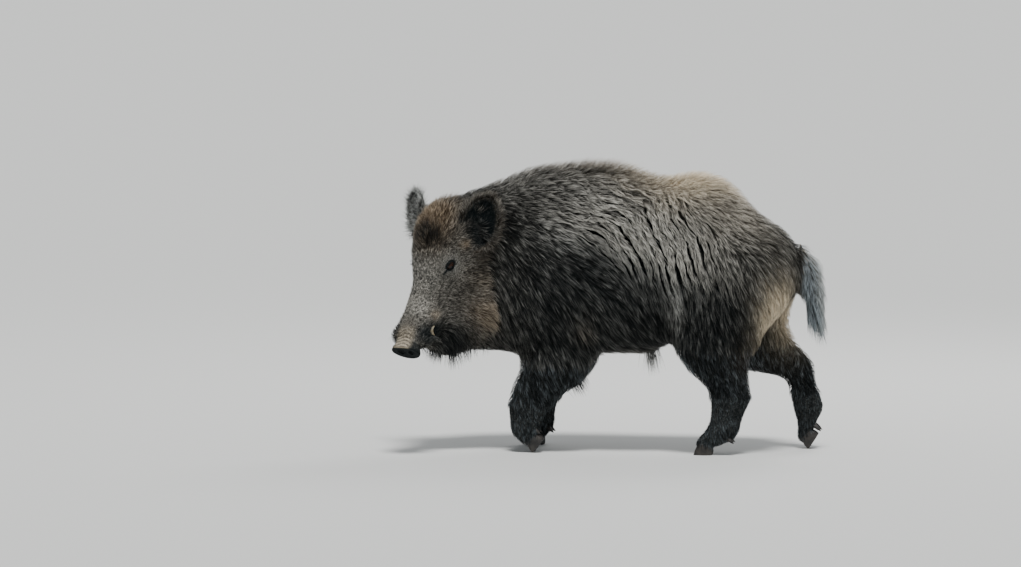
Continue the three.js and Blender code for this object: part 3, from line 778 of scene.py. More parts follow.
# Forms of the head, the same on both sides: how far out in millimetres, place, and reach on each axis.
HEAD_FORMS = [
    (5.0, (-26, 52, 10), (26, 22, 26)),  # brow
    (2.0, (14, 66, -34), (16, 14, 16)),  # pouch under the eye
    (-3.5, (70, 38, -24), (60, 12, 16)),  # hollow beside the bridge of the nose
    (3.0, (70, 70, -85), (60, 40, 40)),  # cheek
    (6.0, (190, 50, -34), (26, 20, 10)),  # upper lip, pushed up by the tusk
    (3.0, (222, 46, -60), (12, 16, 16)),  # lip in front of the tusk
    (12.0, (240, 48, -32), (50, 36, 34)),  # fleshy side of the muzzle
    (7.0, (-62, 10, 38), (48, 45, 40)),  # tuft of the forehead
    (-26.0, (203, 48, -62), (20, 30, 26)),  # gap that the tusk stands in
]
RIGHT_MUZZLE = (8.0, (225, 46, -14), (42, 30, 26))  # the muzzle is fuller on its right side


def shape_lips(front, left, top):
    """A groove between the lips, with a soft roll above and below it."""
    gape = ease(front, 105, 150) * (1 - ease(front, 276, 288)) * ease(np.abs(left), 12, 24)
    gap = top - (MOUTH_CORNER[1] + MOUTH_SLOPE * (front - MOUTH_CORNER[0]))
    return gape * (2.2 * groove(gap - 8, 6) + 1.8 * groove(gap + 8, 6) - 5.0 * groove(gap, 2.6))


def shape_face(spot):
    """How far the skin moves out at each point of the head: brows, lips, folds and wrinkles."""
    front, left, top = spot.T
    out = sum(height * over_face(spot, place, reach) for height, place, reach in HEAD_FORMS)
    height, place, reach = RIGHT_MUZZLE
    out += height * over_face(spot, place, reach) * (left < 0)
    out += shape_lips(front, left, top)
    on_snout = ease(front, 215, 245) * (1 - ease(front, 262, 272)) * ease(top, -50, -25)
    return out + 1.3 * wrinkles(front, left) * on_snout


HEAD_BOX = ((-110, -120, -220), (320, 120, 70))  # the part of the head that is given features
MUZZLE_START = 236


def sculpt_head(skin):
    """Gives the head its features, on a mesh that is fine enough for them."""
    points = places(skin.data)
    spot = in_head(points)
    heads = ((spot > HEAD_BOX[0]) & (spot < HEAD_BOX[1])).all(axis=1)
    points[heads] += directions(skin.data)[heads] * (shape_face(spot[heads]) * MM)[:, None]
    muzzle = heads & (in_head(points)[:, 0] > MUZZLE_START)
    points[muzzle] = np.array(BRIDGE) + shape_snout(in_head(points[muzzle])) @ HEAD * MM
    set_places(skin.data, points)


LID = {"long": 13.0, "upper": 8.4, "lower": 7.2, "thick": 1.4}
SOCKET = (27, 23)  # the patch of skin round an eye that the lids are modelled in
PATCH_DEPTH = 24
LID_TURNS = [2 * math.pi * k / 56 for k in range(56)]
# The rings of skin from the face to the lids' edge, and the size and depth of those inside the socket.
OVER_LIDS = (1.0, 0.85, 0.7, 0.56, 0.44, 0.33, 0.24, 0.16, 0.09, 0.04, 0.0)
BEHIND_LIDS = ((0.97, 0.9), (0.93, 2.2), (0.9, 6.0), (0.5, 12.0))


def eye_axes(side):
    """Along the eye's opening towards the snout, up to the brow, and out of the head."""
    turn = SIDES[side]
    out = Vector(head_vector(0.2, 0.86 * turn, 0.47))
    along = Vector(head_vector(1, -0.37 * turn, 0.25))
    along = (along - out * along.dot(out)).normalized()
    brow = out.cross(along)
    return along, brow * (1 if brow.dot(TOP) > 0 else -1), out


def open_patch(bm, middle, along, up, out, reach):
    """Removes the skin inside an ellipse round a place and returns the edges of the hole."""
    inside = []
    for vertex in bm.verts:
        offset = (vertex.co - middle) / MM
        from_middle = math.hypot(offset.dot(along) / reach[0], offset.dot(up) / reach[1])
        if abs(offset.dot(out)) < PATCH_DEPTH and from_middle < 1:
            inside.append(vertex)
    bmesh.ops.delete(bm, geom=inside, context="VERTS")
    loose = [vertex for vertex in bm.verts if not vertex.link_faces]
    bmesh.ops.delete(bm, geom=loose, context="VERTS")
    return [edge for edge in bm.edges if edge.is_boundary]


def sew_rings(bm, hole, rings):
    """Fills a hole with rings of points, from the outermost in, and closes the last one."""
    loops = []
    for ring in rings:
        corners = [bm.verts.new(point) for point in ring]
        loops.append([bm.edges.new((corners[k - 1], corners[k])) for k in range(len(corners))])
    bmesh.ops.bridge_loops(bm, edges=hole + loops[0])
    for outer, inner in zip(loops, loops[1:]):
        bmesh.ops.bridge_loops(bm, edges=outer + inner)
    bmesh.ops.contextual_create(bm, geom=loops[-1])


def lid_opening(turn):
    """The lids' edge at a turn round the eye, along and up, drawn out and down at the inner corner."""
    high = LID["upper"] if math.sin(turn) > 0 else LID["lower"]
    inner = max(math.cos(turn), 0) ** 6
    x = LID["long"] * math.cos(turn) * (1 + 0.22 * inner)
    y = high * math.sin(turn) * abs(math.sin(turn)) ** 0.15 - 1.5 * inner
    return x, y


def over_eye(x, y):
    """How far from the eye's middle the outside of a lid lies where it rests on the eyeball."""
    return math.sqrt(max((EYE_RADIUS + LID["thick"]) ** 2 - x**2 - y**2, 0))


def over_lid(turn, share, skin_height):
    """A point of the lid at a turn round the eye, from the face at share 1 to the lid's edge at 0."""
    x0, y0 = lid_opening(turn)
    x = x0 + (SOCKET[0] * math.cos(turn) - x0) * share
    y = y0 + (SOCKET[1] * math.sin(turn) - y0) * share
    face = skin_height(x, y)
    lid = max(over_eye(x, y), min(face - 2.5, 9.0))
    blend = float(ease(share, 0.12, 0.6))
    crease = 1.6 * math.exp(-(((share - 0.40) / 0.09) ** 2)) * (1.0 if math.sin(turn) > 0 else 0.6)
    swell = 0.9 * math.exp(-(((share - 0.16) / 0.12) ** 2))
    return x, y, lid * (1 - blend) + face * blend - crease + swell


def behind_lid(turn, size, depth):
    x, y = (value * size for value in lid_opening(turn))
    return x, y, max(over_eye(x, y), 6.5) - depth


def lid_rings(side, tree):
    """Rings round an eye: from the face, over the lids to their edges, and in behind the eyeball."""
    along, brow, out = eye_axes(side)
    middle = EYE[side]

    def at(x, y, height):
        return middle + (along * x + brow * y + out * height) * MM

    def skin_height(x, y):
        start = middle + (along * x + brow * y) * MM + out * 40 * MM
        hit = tree.ray_cast(start, -out)[0]
        return (hit - middle).dot(out) / MM if hit else 8.0

    rings = [[at(*over_lid(turn, share, skin_height)) for turn in LID_TURNS] for share in OVER_LIDS]
    return rings + [[at(*behind_lid(turn, *step)) for turn in LID_TURNS] for step in BEHIND_LIDS]


def add_lids(skin):
    tree = surface_tree(skin.data)
    bm = bmesh.new()
    bm.from_mesh(skin.data)
    for side in SIDES:
        hole = open_patch(bm, EYE[side], *eye_axes(side), (SOCKET[0] + 1.5, SOCKET[1] + 1.5))
        sew_rings(bm, hole, lid_rings(side, tree))
    bmesh.ops.triangulate(bm, faces=[face for face in bm.faces if len(face.verts) > 4])
    bmesh.ops.recalc_face_normals(bm, faces=bm.faces)
    bm.to_mesh(skin.data)
    bm.free()


def build_skin():
    skin = remeshed_flesh()
    parts, net = smooth_flesh(skin)
    kinds = kinds_of(parts)
    depth = column(plan_of(places(skin.data), directions(skin.data), kinds, sides_of(parts)), "depth")
    sink(skin, net, net.smooth(depth, 24) * MM)
    set_places(skin.data, net.smooth(places(skin.data), SETTLING_ROUNDS, shares(net, SETTLING, kinds)))
    raise_ridges(skin)
    thin_out_body(skin, kinds)
    refine_face(skin, lambda spot: (spot[:, 0] > -45) & (np.abs(spot[:, 1]) < 95) & (spot[:, 2] > -115))
    refine_face(skin, lambda spot: spot[:, 0] > DISC_FRONT - DISC_THICK)
    sculpt_head(skin)
    add_lids(skin)
    return skin


# ---- The finished skin, with values at its vertices ------------------------------------------------------

class Hide:
    """The finished skin as arrays: its triangles, and the plan, flow and marks at each vertex."""

    def __init__(self, skin):
        mesh = skin.data
        self.points = places(mesh)
        self.normals = directions(mesh)
        mesh.calc_loop_triangles()
        count = len(mesh.loop_triangles)
        corners = np.empty(count * 3, np.int32)
        mesh.loop_triangles.foreach_get("vertices", corners)
        loops = np.empty(count * 3, np.int32)
        mesh.loop_triangles.foreach_get("loops", loops)
        self.corners = corners.reshape(-1, 3)
        unwrap = np.empty(len(mesh.loops) * 2, np.float32)
        mesh.uv_layers["OFBake"].data.foreach_get("uv", unwrap)
        self.unwrap = unwrap.reshape(-1, 2)[loops].reshape(-1, 3, 2)
        self.parts = nearest_parts(self.points)
        given = (self.points, self.normals, kinds_of(self.parts), sides_of(self.parts))
        net = Net(mesh)
        self.plan = net.smooth(plan_of(*given), 3)
        column(self.plan, "density")[in_horn(self.points)] = 0
        self.flow = unit(net.smooth(flow_of(*given), 10))
        self.tree = BVHTree.FromPolygons(self.points.tolist(), self.corners.tolist())
        edge_1 = self.points[self.corners[:, 1]] - self.points[self.corners[:, 0]]
        edge_2 = self.points[self.corners[:, 2]] - self.points[self.corners[:, 0]]
        self.areas = np.linalg.norm(np.cross(edge_1, edge_2), axis=1) / 2

    def at(self, values, triangles, weights):
        """Values of the vertices at places given by their triangles and their weights in them."""
        return np.einsum("ij,ijk->ik", weights, values[self.corners[triangles]])

    def over(self, values, triangles):
        """The mean direction of vectors over each triangle."""
        return unit(values[self.corners[triangles]].mean(axis=1))

    def onto(self, points):
        """The nearest places on the skin, with the triangles that they lie in."""
        hits = [self.tree.find_nearest(point) for point in points.tolist()]
        return np.array([hit[0] for hit in hits]), np.array([hit[2] for hit in hits])


def unwrap(skin):
    """Lays the skin out flat, for colours that are baked."""
    activate(skin)
    skin.data.uv_layers.new(name="OFBake")
    bpy.ops.object.mode_set(mode="EDIT")
    bpy.ops.mesh.select_all(action="SELECT")
    bpy.ops.uv.smart_project(angle_limit=math.radians(66), island_margin=0.0)
    bpy.ops.object.mode_set(mode="OBJECT")


def mark(mesh, name, kind, values):
    """Stores values on a mesh's vertices as a named attribute."""
    attribute = mesh.attributes.new(name, kind, "POINT")
    field = {"FLOAT": "value", "FLOAT_COLOR": "color"}[kind]
    attribute.data.foreach_set(field, values.astype(np.float32).ravel())


MARKS = [PLAN_NAMES.index(name) for name in ("black", "pale", "warm", "grizzle")]


# ---- Tufts -----------------------------------------------------------------------------------------------

PATCH = 0.003  # the size of each tuft's patch on the unwrap
PROFILE = {2: (0.8, 0.9), 3: (0.75, 1.0, 0.62)}  # a tuft's width at its rings, from the root up
ROOT_DEPTH = 2 * MM  # the deepest that a root goes under the skin
LOCK_REACH = 26 * MM  # how far the tip of a tuft may lie from the one that leads its lock
FLOOR_GAP = 0.5 * MM  # the least height of a hair over the floor


def scatter(hide):
    """Roots spread evenly over the skin, as triangle numbers and places in them."""
    tris = hide.corners
    density = column(hide.plan, "density")[tris].mean(axis=1) * 1e4  # for a square metre
    expected = hide.areas * density
    count = np.floor(expected + rng.random(len(expected))).astype(int)
    triangles = np.repeat(np.arange(len(tris)), count)
    a, b = rng.random((2, len(triangles)))
    flip = a + b > 1
    a[flip], b[flip] = 1 - a[flip], 1 - b[flip]
    weights = np.stack([1 - a - b, a, b], axis=1)
    points = hide.at(hide.points, triangles, weights)
    height, zone = ridges(points, unit(hide.at(hide.normals, triangles, weights)))
    keep = rng.random(len(triangles)) > zone * (1 - height)  # few in the hollows between the long locks
    return triangles[keep], weights[keep]


def turned(flow, normals, angle):
    """The flow turned about the normals."""
    return flow * np.cos(angle)[:, None] + np.cross(normals, flow) * np.sin(angle)[:, None]


def laid(flow, normals):
    """The flow laid flat on a surface."""
    return unit(flow - normals * np.sum(flow * normals, axis=1, keepdims=True))


class Tufts:
    """Root, middle and tip of many tufts, laid along the flow over the skin and lifted off it."""

    def __init__(self, hide, triangles, weights):
        self.hide = hide
        self.triangles = triangles
        self.weights = weights
        self.count = len(triangles)
        self.plan = hide.at(hide.plan, triangles, weights)
        self.root = hide.at(hide.points, triangles, weights)
        self.normal = unit(hide.at(hide.normals, triangles, weights))
        self.parts = hide.parts[hide.corners[triangles, 0]]
        self.uv = np.einsum("ij,ijk->ik", weights, hide.unwrap[triangles])
        self.shade = rng.random(self.count)
        self.grow()

    def value(self, name):
        return column(self.plan, name)

    def heading(self):
        """The way each tuft sets out, and how far that is turned from the flow."""
        flow = laid(self.hide.at(self.hide.flow, self.triangles, self.weights), self.normal)
        spread = ease(self.value("length"), 8, 30)
        angle = rng.normal(0, 0.06, self.count) * (1 + spread)
        angle += 0.10 * spread * wave(self.root, (0.7, 0.2, 0.7), 0.061)
        return turned(flow, self.normal, angle), angle

    def grow(self):
        """Lays each tuft along the flow in two steps, and lifts its middle and tip off the skin."""
        hide = self.hide
        flow, angle = self.heading()
        height, zone = ridges(self.root, self.normal)
        # The ridge value at the root, from -1 in a trough to 1 on a crest, drives the painted shade and
        # highlight of the long locks.
        self.ridge = zone * (2 * height - 1)
        self.crested = zone
        hollow = zone * (1 - height)
        length = self.value("length") * MM * (0.6 + 0.7 * rng.random(self.count)) * (1 - 0.4 * hollow)
        half = (length / 2)[:, None]
        middle, first = hide.onto(self.root + flow * half)
        middle_normal = hide.over(hide.normals, first)
        bend = laid(hide.flow[hide.corners[first]].mean(axis=1), middle_normal)
        way = unit(0.5 * laid(flow, middle_normal) + 0.5 * turned(bend, middle_normal, angle))
        tip, second = hide.onto(middle + way * half)
        self.middle, self.tip = self.drawn_to_crests(middle, tip)
        depth = self.value("depth") * MM
        stand = depth * (0.6 + 0.5 * rng.random(self.count)) * (1 - 0.7 * hollow)
        lift = self.value("lift") * length
        self.middle = self.middle + middle_normal * (0.75 * stand + 0.35 * lift)[:, None]
        self.tip = self.tip + hide.over(hide.normals, second) * (stand + lift)[:, None]
        self.base = self.root - self.normal * np.minimum(ROOT_DEPTH, 0.5 * depth + 0.4 * MM)[:, None]
        self.free_some(flow, half)

    def free_some(self, flow, half):
        """Lets the tufts that are free of the skin go straight out, and down where they hang."""
        hang = self.value("hang")[:, None]
        free = np.maximum(hang, self.value("free")[:, None])
        up = (0.3 * hang + self.value("lift")[:, None]) * self.normal
        way = unit(flow + up + np.array([0, 0, -1.2]) * hang)
        self.middle = self.middle * (1 - free) + (self.root + way * half) * free
        self.tip = self.tip * (1 - free) + (self.root + way * 2 * half) * free

    def drawn_to_crests(self, middle, tip):
        """Middles and tips brought towards the crest that each tuft is rooted beside."""
        _, zone = ridges(self.root, self.normal)
        turn, _ = crests(self.root)
        self.crest = np.where(zone > 0.25, np.round(turn), 0)
        drawn = []
        for points, share in ((middle, 0.93), (tip, 1.0)):
            here, outward = crests(points)
            off = np.clip(np.round(turn) - here, -1.2, 1.2) * RIDGE_GAP * share * zone
            drawn.append(points + outward * off[:, None])
        return drawn

    def gather(self, every=7):
        """Draws the tufts round each leading one towards it, so that the coat falls into locks."""
        leaders = rng.choice(self.count, max(self.count // every, 1), replace=False)
        centres = 0.5 * (self.root + self.tip)
        tree = tree_of(centres[leaders])
        leader = leaders[[tree.find(point)[1] for point in centres.tolist()]]
        near = np.linalg.norm(self.tip[leader] - self.tip, axis=1, keepdims=True) < LOCK_REACH
        near &= (self.crest[leader] == self.crest)[:, None]
        pull = self.value("lock")[:, None] * near
        self.middle = self.middle + (self.middle[leader] - self.middle) * pull * 0.45
        self.tip = self.tip + (self.tip[leader] - self.tip) * pull * 0.65
        self.shade = 0.6 * self.shade + 0.4 * self.shade[leader]

    def piece(self, name, keep, rings):
        """One mesh of the tufts with the given numbers."""
        width = self.value("width")[keep] * MM * (0.7 + 0.6 * rng.random(len(keep)))
        curve = (self.base[keep], self.middle[keep], self.tip[keep])
        own = {"shade": self.shade[keep], "ridge": self.ridge[keep], "crest": self.crested[keep]}
        marks = self.plan[keep][:, MARKS]
        return strand_mesh(name, curve, self.normal[keep], width, rings, own, marks, self.uv[keep])


def strand_faces(rings):
    """The faces of one strand: its root end, its sides and its tip."""
    faces = [(0, 1, 2)]
    for ring in range(rings - 1):
        for k in range(3):
            a, b = ring * 3 + k, ring * 3 + (k + 1) % 3
            faces += [(b, a, a + 3), (b, a + 3, b + 3)]
    last = (rings - 1) * 3
    return np.array(faces + [(last + (k + 1) % 3, last + k, rings * 3) for k in range(3)])


def strand_mesh(name, curve, normal, width, rings, own, marks, uv):
    """One mesh of three-sided tapering strands, each along a curve of a root, a middle and a tip."""
    root, middle, tip = curve
    count = len(root)
    control = 2 * middle - 0.5 * (root + tip)
    per = rings * 3 + 1
    points = np.empty((count, per, 3))
    along = np.ones((count, per))
    for ring in range(rings):
        t = ring / rings
        way = unit(2 * (control - root) * (1 - t) + 2 * (tip - control) * t + 1e-9)
        side = unit(np.cross(way, normal))
        rise = unit(np.cross(side, way))
        broad = (width * PROFILE[rings][ring] / 2)[:, None]
        spine = root * (1 - t) ** 2 + 2 * control * t * (1 - t) + tip * t * t
        for corner, reach in enumerate((side * broad, -side * broad, rise * broad * 0.7)):
            points[:, ring * 3 + corner] = spine + reach
        along[:, ring * 3:ring * 3 + 3] = t
    points[:, -1] = tip
    points[:, :, 2] = np.maximum(points[:, :, 2], FLOOR_GAP)
    triangles = (strand_faces(rings)[None] + (np.arange(count) * per)[:, None, None]).reshape(-1, 3)
    mesh = triangle_mesh(name, points.reshape(-1, 3), triangles)
    mark(mesh, "along", "FLOAT", along.ravel())
    # The ridge value, which drives the painted highlight on the crests of the long locks and the painted
    # shade in their troughs, runs from the root's place to the crest at the tip.
    ridge = own["ridge"][:, None] + (own["crest"] - own["ridge"])[:, None] * ease(along, 0.1, 0.5)
    mark(mesh, "ridge", "FLOAT", ridge.ravel())
    mark(mesh, "shade", "FLOAT", np.repeat(own["shade"], per))
    mark(mesh, "marks", "FLOAT_COLOR", np.repeat(marks, per, axis=0))
    layer = mesh.uv_layers.new(name="OFBake")
    across = np.tile((np.arange(per) % 3 - 1) / 2, (count, 1))
    patch = uv[:, None] + np.stack([across, along - 0.5], axis=2) * PATCH
    layer.data.foreach_set("uv", patch.reshape(-1, 2)[triangles.ravel()].astype(np.float32).ravel())
    return mesh


def triangle_mesh(name, points, triangles):
    mesh = bpy.data.meshes.new(name)
    mesh.vertices.add(len(points))
    mesh.vertices.foreach_set("co", points.astype(np.float32).ravel())
    mesh.loops.add(triangles.size)
    mesh.loops.foreach_set("vertex_index", triangles.astype(np.int32).ravel())
    mesh.polygons.add(len(triangles))
    mesh.polygons.foreach_set("loop_start", np.arange(0, triangles.size, 3, dtype=np.int32))
    mesh.update(calc_edges=True)
    mesh.shade_smooth()
    return mesh


# Pieces of coat: name, the nodes under it, side, rings of a tuft, slot, and the kind of hair.
COAT = [
    ("coat_head", ("head", "snout"), None, 2, "coat_face", "plain"),
    ("coat_ears", ("left_ear", "right_ear"), None, 2, "coat_dark", "soft"),
]
for area, node in (("neck", "neck"), ("chest", "chest"), ("barrel", "barrel"), ("rump", "hindquarters")):
    COAT += [(f"coat_{area}_{side}", (node,), side, 3, "coat_grizzled", "plain") for side in SIDES]
COAT.append(("coat_tail", ("tail", "tail_tuft"), None, 3, "coat_dark", "cool"))
for area, legs in (("forelegs", LEGS[:2]), ("hindlegs", LEGS[2:])):
    nodes = tuple(leg + length for leg in legs for length in ("_upper", "_lower"))
    COAT.append(("coat_" + area, nodes, None, 2, "coat_black", "cool"))


def add_piece(name, mesh, material, slot):
    piece = link(name, mesh)
    piece.data.materials.append(material)
    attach(piece, "root")


def build_coat(hide, hairs):
    tufts = Tufts(hide, *scatter(hide))
    tufts.gather()
    left = tufts.root[:, 1] < TRUNK_MIDDLE
    for name, nodes, side, rings, slot, hair in COAT:
        keep = np.isin(tufts.parts, [FLESH.index(node) for node in nodes])
        if side:
            keep &= left if side == "left" else ~left
        add_piece(name, tufts.piece(name, np.flatnonzero(keep), rings), hairs[hair], slot)


def bristles(hide, name, roots, ways, length, width, black, material, slot):
    """Single long hairs: where each is rooted, its way, length and thickness, and how black it is."""
    roots, triangles = hide.onto(roots)
    normal = hide.over(hide.normals, triangles)
    way = unit(ways + 0.15 * rng.normal(size=ways.shape))
    length = (length * (0.6 + 0.6 * rng.random(len(roots))))[:, None]
    droop = np.array([0, 0, -0.18]) * length
    curve = (roots - normal * 0.5 * MM, roots + way * length / 2, roots + way * length + droop)
    own = {"shade": rng.random(len(roots)), "ridge": np.zeros(len(roots)), "crest": np.zeros(len(roots))}
    marks = np.tile([black, 0.0, 0.0, 1 - black], (len(roots), 1))
    uv = hide.unwrap[triangles].mean(axis=1)
    mesh = strand_mesh(name, curve, normal, np.full(len(roots), width), 3, own, marks, uv)
    add_piece(name, mesh, material, slot)


# Whiskers and beard on the left side of the head: the middle of each group, its spread, how many hairs,
# their length and, for whiskers, their way in the head's frame.
WHISKERS = [
    ((255, 34, -48), 12, 12, 34, (0.5, 0.8, -0.5)),
    ((225, 48, -45), 14, 12, 40, (0.2, 1.0, -0.2)),
    ((250, 14, -76), 14, 16, 36, (0.6, 0.3, -1.0)),
    ((205, 20, -118), 18, 22, 46, (0.2, 0.3, -1.0)),
]
BEARD = [
    ((212, 14, -150), 26, 70, 40),
    ((186, 36, -180), 36, 110, 50),
    ((140, 50, -196), 44, 110, 42),
    ((90, 60, -205), 50, 90, 36),
]
ELBOWS = ((-0.105, -0.05, 0.225), (-0.15, 0.17, 0.225))
BELLY_TASSEL = (0.115, TRUNK_MIDDLE, 0.27)


def in_groups(groups):
    """Roots about the middle of each group on both sides of the head: the root, its side and its group."""
    for turn in SIDES.values():
        for group in groups:
            place, spread, count = group[:3]
            for _ in range(count):
                front, left, top = np.array(place) + spread * (rng.random(3) - 0.5)
                yield on_head(front, left * turn, top), turn, group


def build_whiskers(hide, material):
    roots, turns, groups = zip(*in_groups(WHISKERS))
    ways = [head_vector(group[4][0], group[4][1] * turn, group[4][2]) for turn, group in zip(turns, groups)]
    lengths = np.array([group[3] * MM for group in groups])
    bristles(hide, "whiskers", np.array(roots), np.array(ways), lengths, 0.7 * MM, 0.3, material, "coat_face")


def tress(hide, name, roots, way, length, width, black, material):
    """Dark bristles that all go one way."""
    ways = np.tile(way, (len(roots), 1))
    lengths = np.full(len(roots), length)
    bristles(hide, name, roots, ways, lengths, width, black, material, "coat_dark")


def build_fringes(hide, material):
    """The beard under the jaw, the fringes behind the elbows, and the long hair under the belly."""
    roots, _, groups = zip(*in_groups(BEARD))
    lengths = np.array([group[3] * MM for group in groups])
    tress(hide, "beard", np.array(roots), [0.12, 0.0, -1.0], lengths, 1.1 * MM, 0.92, material)
    spread = [0.008, 0.02, 0.02]
    roots = np.concatenate([np.array(place) + rng.normal(size=(90, 3)) * spread for place in ELBOWS])
    tress(hide, "elbow_fringes", roots, [0.7, 0.0, -1.0], 42 * MM, 1.2 * MM, 0.95, material)
    roots = np.array(BELLY_TASSEL) + rng.normal(size=(180, 3)) * [0.016, 0.012, 0.0]
    tress(hide, "belly_tassel", roots, [0.15, 0.0, -1.0], 72 * MM, 1.2 * MM, 0.3, material)


LASHES = 26  # on each eye
LASH_ROOT = 14  # from the eye's middle


def build_lashes(hide, material):
    roots, ways = [], []
    for side in SIDES:
        along, brow, out = eye_axes(side)
        for _ in range(LASHES):
            turn = math.pi * (0.12 + 0.76 * rng.random())
            x, y = LID["long"] * math.cos(turn), LID["upper"] * math.sin(turn) + 1
            roots.append(EYE[side] + (along * x + brow * y + out * LASH_ROOT) * MM)
            ways.append(np.array(out + brow * 0.35 + along * (0.35 * math.cos(turn))))
    roots, ways = np.array(roots), unit(np.array(ways))
    bristles(hide, "lashes", roots, ways, np.full(len(roots), 9 * MM), 0.5 * MM, 1.0, material, "coat_black")


# ---- Materials ---------------------------------------------------------------------------------------------

def plug(tree, socket, value):
    """Links a socket to an output, or gives it a value of its own."""
    if isinstance(value, bpy.types.NodeSocket):
        tree.links.new(value, socket)
    else:
        socket.default_value = (*value, 1) if socket.type == "RGBA" else value


def add_node(tree, kind, settings=None, **inputs):
    node = tree.nodes.new(kind)
    for name, value in (settings or {}).items():
        setattr(node, name, value)
    for name, value in inputs.items():
        plug(tree, node.inputs[name.replace("_", " ")], value)
    return node


def mixed(tree, factor, a, b):
    node = add_node(tree, "ShaderNodeMix", {"data_type": "RGBA"})
    for index, value in ((0, factor), (6, a), (7, b)):
        plug(tree, node.inputs[index], value)
    return node.outputs[2]


def maths(tree, operation, *values, clamp=False):
    node = add_node(tree, "ShaderNodeMath", {"operation": operation, "use_clamp": clamp})
    for socket, value in zip(node.inputs, values):
        plug(tree, socket, value)
    return node.outputs[0]


def ranged(tree, value, low, high, least=0.0, most=1.0, kind="LINEAR"):
    """A value from low to high, spread over the range from least to most."""
    node = add_node(tree, "ShaderNodeMapRange", {"interpolation_type": kind}, Value=value, From_Min=low,
                    From_Max=high, To_Min=least, To_Max=most)
    return node.outputs[0]


def scaled(tree, colour, share):
    node = add_node(tree, "ShaderNodeVectorMath", {"operation": "SCALE"}, Vector=colour, Scale=share)
    return node.outputs[0]


def noise(tree, place, scale, detail):
    return add_node(tree, "ShaderNodeTexNoise", Vector=place, Scale=scale, Detail=detail).outputs["Fac"]


def object_place(tree):
    return add_node(tree, "ShaderNodeTexCoord").outputs["Object"]


def set_finish(shader, **values):
    """Sets the shader's own sockets."""
    for name, value in values.items():
        shader.inputs[name.replace("_", " ")].default_value = value


BROWN = (0.0135, 0.0140, 0.0122)
BLACK = (0.0036, 0.0060, 0.0068)
WARM = (0.060, 0.034, 0.016)
PALE = (0.74, 0.63, 0.46)
TAN = (0.49, 0.39, 0.27)
SILVER = (0.44, 0.44, 0.41)
STEEL = (0.42, 0.50, 0.56)
HAIR_GLOSS, SOFT_HAIR_GLOSS = 0.14, 0.01


def hair_colour_group():
    """Colour of hair and skin from the markings, how far along the hair, and each tuft's own shade, with
    painted shade in the troughs of the long locks and painted highlight on their crests.
    """
    group = bpy.data.node_groups.new("boar hair colour", "ShaderNodeTree")
    group.interface.new_socket("Marks", in_out="INPUT", socket_type="NodeSocketColor")
    for name in ("Grizzle", "Along", "Shade", "Ridge", "Cool"):
        group.interface.new_socket(name, in_out="INPUT", socket_type="NodeSocketFloat")
    group.interface.new_socket("Color", in_out="OUTPUT", socket_type="NodeSocketColor")
    given = group.nodes.new("NodeGroupInput").outputs
    black, pale, warm = add_node(group, "ShaderNodeSeparateColor", Color=given["Marks"]).outputs[:]
    # Painted shade: the base goes over to black in the troughs between the long locks, as well as where the
    # hair is marked black.
    hollow = maths(group, "MULTIPLY_ADD", given["Ridge"], -0.5, black, clamp=True)
    base = mixed(group, hollow, mixed(group, warm, BROWN, WARM), BLACK)
    tip = mixed(group, pale, mixed(group, warm, SILVER, TAN), PALE)
    tip = mixed(group, given["Cool"], tip, STEEL)
    colour = mixed(group, tip_share(group, given), base, tip)
    colour = mixed(group, maths(group, "MULTIPLY", pale, 0.85), colour, PALE)
    shade = maths(group, "MULTIPLY_ADD", given["Shade"], 0.8, 0.6)
    # Painted highlight and shade: the colour is made up to nearly twice as bright on the crests of the long
    # locks, and far darker in their troughs.
    shade = maths(group, "MULTIPLY", shade, ranged(group, given["Ridge"], -1.0, 1.0, 0.1, 1.95))
    end = group.nodes.new("NodeGroupOutput")
    group.links.new(scaled(group, colour, shade), end.inputs["Color"])
    return group


def tip_share(group, given):
    """How much of the light tip shows: more towards the end of a hair and on grizzled places, and more on
    crests than in troughs, partly where the tips gather and partly as painted highlight and shade.
    """
    reach = ranged(group, given["Along"], 0.12, 0.8, kind="SMOOTHSTEP")
    # Painted highlight and shade: the ridge value raises the chance of a light tip on crests and lowers it in
    # troughs.
    crested = maths(group, "MULTIPLY_ADD", given["Ridge"], 1.2, given["Shade"])
    chance = maths(group, "MULTIPLY_ADD", given["Grizzle"], 0.6, crested)
    own = ranged(group, chance, 0.4, 1.2, kind="SMOOTHSTEP")
    strength = maths(group, "MULTIPLY_ADD", given["Grizzle"], 0.85, 0.12)
    patches = ranged(group, noise(group, object_place(group), 14.0, 3.0), 0.3, 0.7, 0.7, 1.1)
    share = maths(group, "MULTIPLY", maths(group, "MULTIPLY", reach, own), strength)
    return maths(group, "MULTIPLY", share, patches, clamp=True)


def new_material(name):
    material = bpy.data.materials.new(name)
    material.use_nodes = True
    tree = material.node_tree
    return material, tree, tree.nodes["Principled BSDF"]


def attribute(tree, name):
    return add_node(tree, "ShaderNodeAttribute", {"attribute_name": name}).outputs


def hair_colour(tree, group, **given):
    """The hair's colour on a material, from the marks stored on its mesh."""
    marks = attribute(tree, "marks")
    ridge = attribute(tree, "ridge")["Fac"]
    given |= {"Marks": marks["Color"], "Grizzle": marks["Alpha"], "Ridge": ridge}
    return add_node(tree, "ShaderNodeGroup", {"node_tree": group}, **given).outputs[0]


def hair_material(group, name, cool, gloss):
    material, tree, shader = new_material(name)
    along = attribute(tree, "along")["Fac"]
    shade = attribute(tree, "shade")["Fac"]
    tree.links.new(hair_colour(tree, group, Along=along, Shade=shade, Cool=cool), shader.inputs["Base Color"])
    set_finish(shader, Roughness=0.5, Specular_IOR_Level=gloss)
    return material


